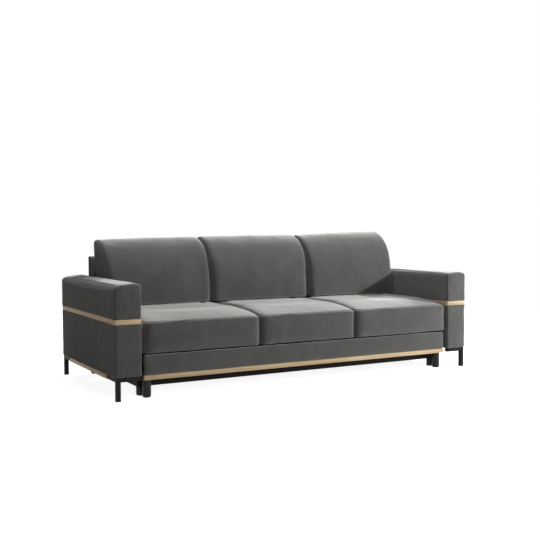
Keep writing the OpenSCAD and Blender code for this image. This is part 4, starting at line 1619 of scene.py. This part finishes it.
def solid_places(node: str, axes: tuple[Axis, Axis], reach: float) -> Outline:
    """Find the middle of each solid of a CAD node, seen along one direction.

    Args:
        node: The CAD node, a group of solids that stand apart.
        axes: The two directions across the view. Solids seen along X are taken from the right side alone.
        reach: The largest distance between points of one solid in the view.

    Returns:
        The two coordinates of each solid's middle.
    """
    groups: list[list[Vector]] = []
    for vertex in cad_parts[node].data.vertices:
        if Axis.X not in axes and vertex.co.x < 0:
            continue
        flat = Vector([vertex.co[axis.value] for axis in axes])
        for group in groups:
            if (group[0] - flat).length < reach:
                group.append(flat)
                break
        else:
            groups.append([flat])
    return [
        tuple((min(p[k] for p in group) + max(p[k] for p in group)) / 2 for k in range(2)) for group in groups
    ]


@dataclass(frozen=True)
class RoundLegs:
    """A set of turned legs, each with a moulded glide in its foot."""

    body: str
    node: str
    glide_node: str
    foot_chamfer: float = 0.003
    head_edge: float = 0.0008
    glide_edge: float = 0.0012
    sides: int = 64
    farthest: float = 0.15
    widest: float = 0.1

    def radius(self, place: tuple[float, float]) -> float:
        """Give the radius of the leg that stands at a place.

        Args:
            place: The (x, y) of the leg's middle.

        Returns:
            The largest distance of its points from that middle.
        """
        spans = [(v.co.xy - Vector(place)).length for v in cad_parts[self.node].data.vertices]
        return max(span for span in spans if span < self.widest)

    def make(self) -> None:
        """Turn the legs and mould their glides."""
        low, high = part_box(self.node)
        glide_low, glide_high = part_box(self.glide_node)
        places = solid_places(self.node, (Axis.X, Axis.Y), self.farthest)
        radius = self.radius(places[0])
        legs, glides = [], []
        for x, y in places:
            leg = new_rod("leg", radius, Vector((x, y, low.z)), Vector((x, y, high.z)), self.sides)
            ease_edges(leg, self.foot_chamfer, sharp_at(low.z), 3)
            ease_edges(leg, self.head_edge, sharp_at(high.z))
            legs.append(leg)
            foot, head = Vector((x, y, 0.0)), Vector((x, y, glide_high.z))
            glide = new_rod("glide", radius - (glide_low.x - low.x), foot, head, self.sides)
            ease_edges(glide, self.glide_edge, sharp_at(0.0), 3)
            glides.append(glide)
        log.info("%s: %d legs, radius %.4f", self.node, len(places), radius)
        for pieces, ending, finish, slot, node in (
            (legs, "lacquered", BLACK_LACQUER, "black_leg", self.node),
            (glides, "moulded", GLIDE_PLASTIC, "glide_plastic", self.glide_node),
        ):
            dress(join(f"{node}_{ending}", pieces), finish, self.body, node)


@dataclass
class PullOutSeat:
    """The seat that slides out: its padded apron, oak strip and round front legs."""

    top_drop: float = 0.006
    foot_radius: float = 0.006
    top_radius: float = 0.007
    rear_radius: float = 0.001
    end_reach: float = 0.008
    end_draw: float = 0.005
    end_squash: float = 0.02
    # How far the form may swell past its CAD box
    low_room: Triple = (0.002, 0.004, 0.0)
    high_room: Triple = (0.002, 0.0, 0.0)
    rim: float = 0.006
    pitch: float = 0.005
    station: float = 0.008
    strip_edge: float = 0.0012

    def apron_block(self) -> SoftPiece:
        """Loft the padded apron."""
        low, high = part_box("seat_apron")
        high.z -= self.top_drop
        radii = (self.foot_radius, self.rear_radius, self.rear_radius, self.top_radius)
        loop = rounded_loop((low.y, low.z), (high.y, high.z), radii, self.pitch)
        middle = (low + high) / 2
        rings: list[Ring] = []
        for x, inset in end_insets((high.x - low.x) / 2, self.end_reach, self.end_draw, self.station):
            share_y = 1 - inset / (high.y - low.y)
            share_z = 1 - self.end_squash * inset / self.end_draw
            rings.append([
                (middle.x + x, high.y - (high.y - y) * share_y, middle.z + (z - middle.z) * share_z)
                for y, z in loop
            ])

        def at_rim(p: Vector) -> bool:
            """Say whether a point lies on the apron's rim or on its rear."""
            return p.y > high.y - self.rim or p.z < low.z + self.rim or p.z > high.z - self.rim

        return SoftPiece(
            loft("seat_apron_velvet", rings), low - Vector(self.low_room), high + Vector(self.high_room),
            voxel=0.0055, cap=0.004, pressure=3.0, fill=0.9, subdivide=False, pinned=at_rim,
        )

    def finish_apron(self, piece: SoftPiece) -> None:
        """Make the blown-up apron uneven and dress it."""
        piece.soften(0.0012, 0.12, 4.4)
        piece.dress(VELVET_SEAT, "seat", "seat_apron")

    def oak_strip(self) -> None:
        """Make the oak strip under the apron."""
        obj = new_box("seat_oak_strip_lacquered", *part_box("seat_oak_strip"))
        ease_edges(obj, self.strip_edge)
        dress(obj, OAK_LONG, "seat", "seat_oak_strip")

    def legs(self) -> None:
        """Make the two round seat legs and their glides."""
        RoundLegs("seat", "seat_legs", "seat_leg_glides").make()


@dataclass
class Base:
    """The fixed base between the arms: its dark boards and four short round legs."""

    board_edge: float = 0.0008
    hole_reach: float = 0.02

    def boards(self) -> None:
        """Make the front, rear and side boards."""
        for node in ("base_front_board", "base_rear_board", "left_base_board", "right_base_board"):
            low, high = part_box(node)
            obj = new_box(f"{node}_laminate", low, high)
            ease_edges(obj, self.board_edge)
            if node.endswith("_base_board"):
                reach = Axis.X.unit() * self.hole_reach
                rods = [
                    new_rod("hole", BOLT_HOLE, Vector((low.x, y, z)) - reach, Vector((high.x, y, z)) + reach)
                    for y, z in solid_places("arm_bolts", (Axis.Y, Axis.Z), FASTENER_REACH)
                ]
                combine(obj, join("cutter", rods), Meeting.CUTS)
            dress(obj, DARK_LAMINATE, "base", node)

    def legs(self) -> None:
        """Make the four round base legs and their glides."""
        RoundLegs("base", "base_legs", "base_leg_glides").make()


@dataclass
class BackPanel:
    """The folding back: a padded cover round its frame, and an upholstered rear board."""

    end_reach: float = 0.012
    end_draw: float = 0.006
    top_rise: float = 0.010
    top_radius: float = 0.014
    crest_radius: float = 0.026
    foot_radius: float = 0.0614
    heel_radius: float = 0.004
    # How far the form may swell past its CAD box
    low_room: Triple = (0.001, 0.0, 0.0)
    high_room: Triple = (0.001, 0.002, 0.004)
    pitch: float = 0.012
    station: float = 0.014
    rim: float = 0.008
    wall: float = 0.020
    play: float = 0.0003
    rear_edge: float = 0.0045
    board_drop: float = 0.001
    far: float = 0.05
    recess_lead: float = 0.01

    def board_top(self) -> float:
        """Give the level of the rear board's top, just under the cover's."""
        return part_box("back_cover")[1].z + self.top_rise - self.board_drop

    def block(self) -> SoftPiece:
        """Loft the padded cover, as one closed form."""
        low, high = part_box("back_cover")
        high.z += self.top_rise
        radii = (self.foot_radius, self.heel_radius, self.top_radius, self.crest_radius)
        loop = rounded_loop((low.y, low.z), (high.y, high.z), radii, self.pitch)
        middle = (low + high) / 2
        rings: list[Ring] = []
        for x, inset in end_insets((high.x - low.x) / 2, self.end_reach, self.end_draw, self.station):
            share_y = 1 - inset / (high.y - low.y)
            share_z = 1 - inset / (high.z - low.z)
            rings.append([
                (middle.x + x, middle.y + (y - middle.y) * share_y, low.z + (z - low.z) * share_z)
                for y, z in loop
            ])

        def at_rear(p: Vector) -> bool:
            """Say whether a point lies on the cover's rear or foot."""
            return p.y > high.y - self.rim or p.z < low.z + self.rim

        side = high.x - middle.x - self.rim
        return SoftPiece(
            loft("back_cover_velvet", rings), low - Vector(self.low_room), high + Vector(self.high_room),
            voxel=0.0115, cap=0.005, pressure=3.0, fill=0.8, pinned=at_rear,
            seams=[
                Seam(Axis.X, place, depth=0.002, width=0.003, pucker=0.001)
                for place in (middle.x - side, middle.x + side)
            ],
        )

    def hollow(self, piece: SoftPiece) -> None:
        """Hollow the cover for the frame and the rear board, and cut its lower corners.

        Args:
            piece: The blown-up cover.
        """
        low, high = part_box("back_cover")
        rail_low, rail_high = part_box("back_frame_rails")
        rear_low, rear_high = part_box("back_rear_cover")
        hinge_low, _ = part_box("right_back_hinge")
        far = self.far
        play = Vector((self.play, self.play, self.play))
        space_low = Vector((rail_low.x, low.y + self.wall, rail_low.z)) - play
        cutter = new_box("cutter", space_low, Vector((rail_high.x, rear_high.y + far, rail_high.z)) + play)
        recess = new_box(
            "recess", Vector((low.x - far, rear_low.y - self.play, low.z - far)),
            Vector((high.x + far, high.y + far + self.recess_lead, high.z + far)),
        )
        combine(cutter, recess, Meeting.ADDS)
        for inner, outer in ((hinge_low.x, high.x + 2 * far), (-high.x - 2 * far, -hinge_low.x)):
            notch = new_box(
                "notch", Vector((inner, low.y - far, low.z - 2 * far)),
                Vector((outer, high.y + 2 * far, EAR_FOOT)),
            )
            combine(cutter, notch, Meeting.ADDS)
        combine(piece.obj, cutter, Meeting.CUTS)
        spare = Vector((CORE_SPARE, CORE_SPARE, CORE_SPARE))
        piece.core = (space_low - spare, rail_high + spare)

    def finish_cover(self, piece: SoftPiece) -> None:
        """Make the hollowed and sewn cover uneven and dress it."""
        piece.soften(0.0015, 0.15, 6.1)
        piece.dress(VELVET_PANEL, "back", "back_cover")

    def rear_board(self) -> None:
        """Make the upholstered rear board, wider above the arms' gap than between them."""
        low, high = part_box("back_rear_cover")
        high.z = self.board_top()
        hinge_low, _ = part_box("right_back_hinge")
        obj = new_box("back_rear_cover_velvet", low, high)
        for axis, place in ((Axis.X, -hinge_low.x), (Axis.X, hinge_low.x), (Axis.Z, EAR_FOOT)):
            cut_plane(obj, axis.unit() * place, axis.unit())

        def in_notch(face: bmesh.types.BMFace) -> bool:
            """Say whether a face belongs to the corners beside the hinges."""
            middle = face.calc_center_median()
            return abs(middle.x) > hinge_low.x and middle.z < EAR_FOOT

        choose(obj, Element.FACE, in_notch)
        bpy.ops.mesh.delete(type="FACE")
        bpy.ops.mesh.select_all(action="DESELECT")
        bpy.ops.mesh.select_mode(type="EDGE")
        bpy.ops.mesh.select_non_manifold(extend=False)
        bpy.ops.mesh.edge_face_add()
        leave_edit()
        ease_edges(obj, self.rear_edge, segments=3)
        dress(obj, VELVET_PANEL, "back", "back_rear_cover")


@dataclass
class Upholstery:
    """All soft pieces together, because they are blown up side by side."""

    seats: SeatCushions
    backs: BackCushions
    arm: Arm
    seat: PullOutSeat
    panel: BackPanel

    def make(self) -> None:
        """Loft, blow up, sew and dress every soft piece."""
        seat_pieces = [self.seats.block(name) for name in self.seats.names]
        back_pieces = [self.backs.block(name) for name in self.backs.names]
        lower, upper = self.arm.lower_block(), self.arm.upper_block()
        apron, cover = self.seat.apron_block(), self.panel.block()
        pieces = [*seat_pieces, *back_pieces, lower, upper, apron, cover]
        for piece in pieces:
            piece.even_out()
        inflate(pieces)
        for piece in pieces:
            piece.hold_in()
            piece.refine()
        self.arm.hollow_both(lower, upper)
        self.panel.hollow(cover)
        for piece in pieces:
            piece.sew()
        for number, (piece, name) in enumerate(zip(seat_pieces, self.seats.names)):
            self.finish_cushion(piece, VELVET_SEAT, "seat", name, 1.3 + number * 3.1)
        for number, (piece, name, body) in enumerate(zip(back_pieces, self.backs.names, self.backs.bodies)):
            self.finish_cushion(piece, VELVET_BACK, body, name, 5.7 + number * 2.3)
        self.arm.finish_pads(lower, upper)
        self.seat.finish_apron(apron)
        self.panel.finish_cover(cover)

    def finish_cushion(self, piece: SoftPiece, finish: Velvet, body: str, node: str, seed: float) -> None:
        """Give a loose cushion its unevenness and dress it.

        Args:
            piece: The blown-up cushion.
            finish: Its velvet.
            body: The body that it rides on.
            node: The CAD node that it replaces.
            seed: A shift of its unevenness.
        """
        piece.soften(0.0030, 0.17, seed)
        piece.soften(0.0010, 0.05, seed * 1.7)
        piece.hold_in()
        piece.dress(finish, body, node, 70.0)


@dataclass
class Lamp:
    """One soft lamp over the floor."""

    name: str
    place: Triple
    aim: Triple
    watts: float
    width: float
    height: float

    def hang(self) -> None:
        """Add the lamp, turned towards its aim."""
        data = bpy.data.lights.new(self.name, "AREA")
        data.shape = "RECTANGLE"
        data.size, data.size_y = self.width, self.height
        data.energy = self.watts
        obj = bpy.data.objects.new(self.name, data)
        obj.location = self.place
        obj.rotation_euler = (Vector(self.aim) - Vector(self.place)).to_track_quat("-Z", "Y").to_euler()
        bpy.context.scene.collection.objects.link(obj)


@dataclass
class Studio:
    """The camera of the photograph, a white floor that keeps the shadow, and soft lamps."""

    camera_place: Triple = (-2.670, -4.821, 0.924)
    yaw: float = 29.07
    pitch: float = 2.89
    roll: float = -0.15
    lens_mm: float = 57.35
    sensor_mm: float = 36.0
    floor_radius: float = 4.6
    floor_glow: float = 0.90
    ambient: float = 0.02
    lamps: tuple[Lamp, ...] = (
        Lamp("key_right", (3.63, -2.33, 1.80), (0.2, 0.0, 0.5), 106.0, 0.2, 0.2),
        Lamp("right_rear", (6.0, 4.4, 4.0), (0.2, 0.2, 0.4), 800.0, 2.0, 2.0),
        Lamp("top_soft", (0.0, -0.2, 3.2), (0.0, -0.1, 0.4), 20.0, 3.0, 1.4),
        Lamp("front_fill", (-0.6, -5.4, 2.0), (0.0, 0.0, 0.5), 50.0, 2.4, 1.6),
        Lamp("front_right", (3.4, -4.6, 1.6), (0.4, 0.0, 0.4), 40.0, 1.6, 1.2),
        Lamp("left_side", (-6.0, -1.0, 1.6), (-1.2, 0.0, 0.4), 22.0, 2.0, 1.6),
    )

    def set_camera(self) -> None:
        """Put the camera where the photograph was taken from."""
        data = bpy.data.cameras.new("photo_camera")
        data.lens, data.sensor_width = self.lens_mm, self.sensor_mm
        data.sensor_fit = "HORIZONTAL"
        data.clip_end = 200.0
        obj = bpy.data.objects.new("photo_camera", data)
        yaw, pitch, roll = (math.radians(v) for v in (self.yaw, self.pitch, self.roll))
        ahead = Vector((math.sin(yaw) * math.cos(pitch), math.cos(yaw) * math.cos(pitch), -math.sin(pitch)))
        right = Vector((math.cos(yaw), -math.sin(yaw), 0.0))
        up = right.cross(ahead)
        tilted = right * math.cos(roll) + up * math.sin(roll)
        up = up * math.cos(roll) - right * math.sin(roll)
        turn = Matrix((tilted, up, -ahead)).transposed()
        obj.rotation_euler = turn.to_euler()
        obj.location = self.camera_place
        bpy.context.scene.collection.objects.link(obj)
        bpy.context.scene.camera = obj

    def lay_floor(self) -> None:
        """Lay the white floor, which glows for the camera alone and keeps the sofa's shadow."""
        material = bpy.data.materials.new("studio_floor_paper")
        material.use_nodes = True
        tree = material.node_tree
        tree.nodes.clear()
        seen = self.seen_share(tree)
        pale = add_node(tree, "ShaderNodeBsdfDiffuse", {"Color": linear("#e6e6e6")})
        glow = add_node(tree, "ShaderNodeEmission", {"Color": linear("#ffffff"), "Strength": self.floor_glow})
        bright = add_node(
            tree, "ShaderNodeAddShader", {}, {0: pale.outputs["BSDF"], 1: glow.outputs["Emission"]}
        )
        plain = add_node(tree, "ShaderNodeBsdfDiffuse", {"Color": linear("#a8a8a8")})
        mixed = add_node(
            tree, "ShaderNodeMixShader", {},
            {0: seen, 1: plain.outputs["BSDF"], 2: bright.outputs["Shader"]},
        )
        add_node(tree, "ShaderNodeOutputMaterial", {}, {"Surface": mixed.outputs["Shader"]})
        bpy.ops.mesh.primitive_circle_add(vertices=128, radius=self.floor_radius, fill_type="NGON")
        floor = bpy.context.active_object
        floor.name = "studio_floor"
        floor.data.materials.append(material)

    def seen_share(self, tree: bpy.types.NodeTree) -> Socket:
        """Say whether a ray comes from the camera, a gloss or a clear body.

        Args:
            tree: The node tree that the answer is used in.

        Returns:
            A socket that is one for such rays.
        """
        path = add_node(tree, "ShaderNodeLightPath")
        both = add_node(
            tree, "ShaderNodeMath", {"operation": "MAXIMUM"},
            {0: path.outputs["Is Camera Ray"], 1: path.outputs["Is Glossy Ray"]},
        )
        return add_node(
            tree, "ShaderNodeMath", {"operation": "MAXIMUM"},
            {0: both.outputs["Value"], 1: path.outputs["Is Transmission Ray"]},
        ).outputs["Value"]

    def set_world(self) -> None:
        """Light the room softly all round, with white behind the sofa."""
        world = bpy.data.worlds.new("studio_world")
        bpy.context.scene.world = world
        world.use_nodes = True
        tree = world.node_tree
        tree.nodes.clear()
        seen = self.seen_share(tree)
        white, room = (
            add_node(tree, "ShaderNodeBackground", {"Color": linear("#ffffff"), "Strength": strength})
            for strength in (1.0, self.ambient)
        )
        mixed = add_node(
            tree, "ShaderNodeMixShader", {},
            {0: seen, 1: room.outputs["Background"], 2: white.outputs["Background"]},
        )
        add_node(tree, "ShaderNodeOutputWorld", {}, {"Surface": mixed.outputs["Shader"]})

    def build(self) -> None:
        """Set up the camera, floor, world and lamps."""
        bpy.context.scene.view_settings.view_transform = "Standard"
        self.set_camera()
        self.lay_floor()
        self.set_world()
        for lamp in self.lamps:
            lamp.hang()


def dress_cad_nodes() -> None:
    """Give every CAD node that stays in view its own finish."""
    for name, finish in NODE_FINISHES.items():
        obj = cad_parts[name]
        if obj.material_slots:
            for place in obj.material_slots:
                place.material = finish.build()
        else:
            obj.data.materials.append(finish.build())
        log.info("%s: %s", name, finish.name)


def main() -> None:
    """Build the sofa bed from its sub-assemblies, then the studio round it."""
    logging.basicConfig(level=logging.INFO, format="%(message)s")
    Studio().build()
    arm, seat, panel, base = Arm(), PullOutSeat(), BackPanel(), Base()
    Upholstery(SeatCushions(), BackCushions(), arm, seat, panel).make()
    arm.woodwork()
    arm.steelwork()
    seat.oak_strip()
    seat.legs()
    base.boards()
    base.legs()
    panel.rear_board()
    dress_cad_nodes()


if __name__ == "__main__":
    main()
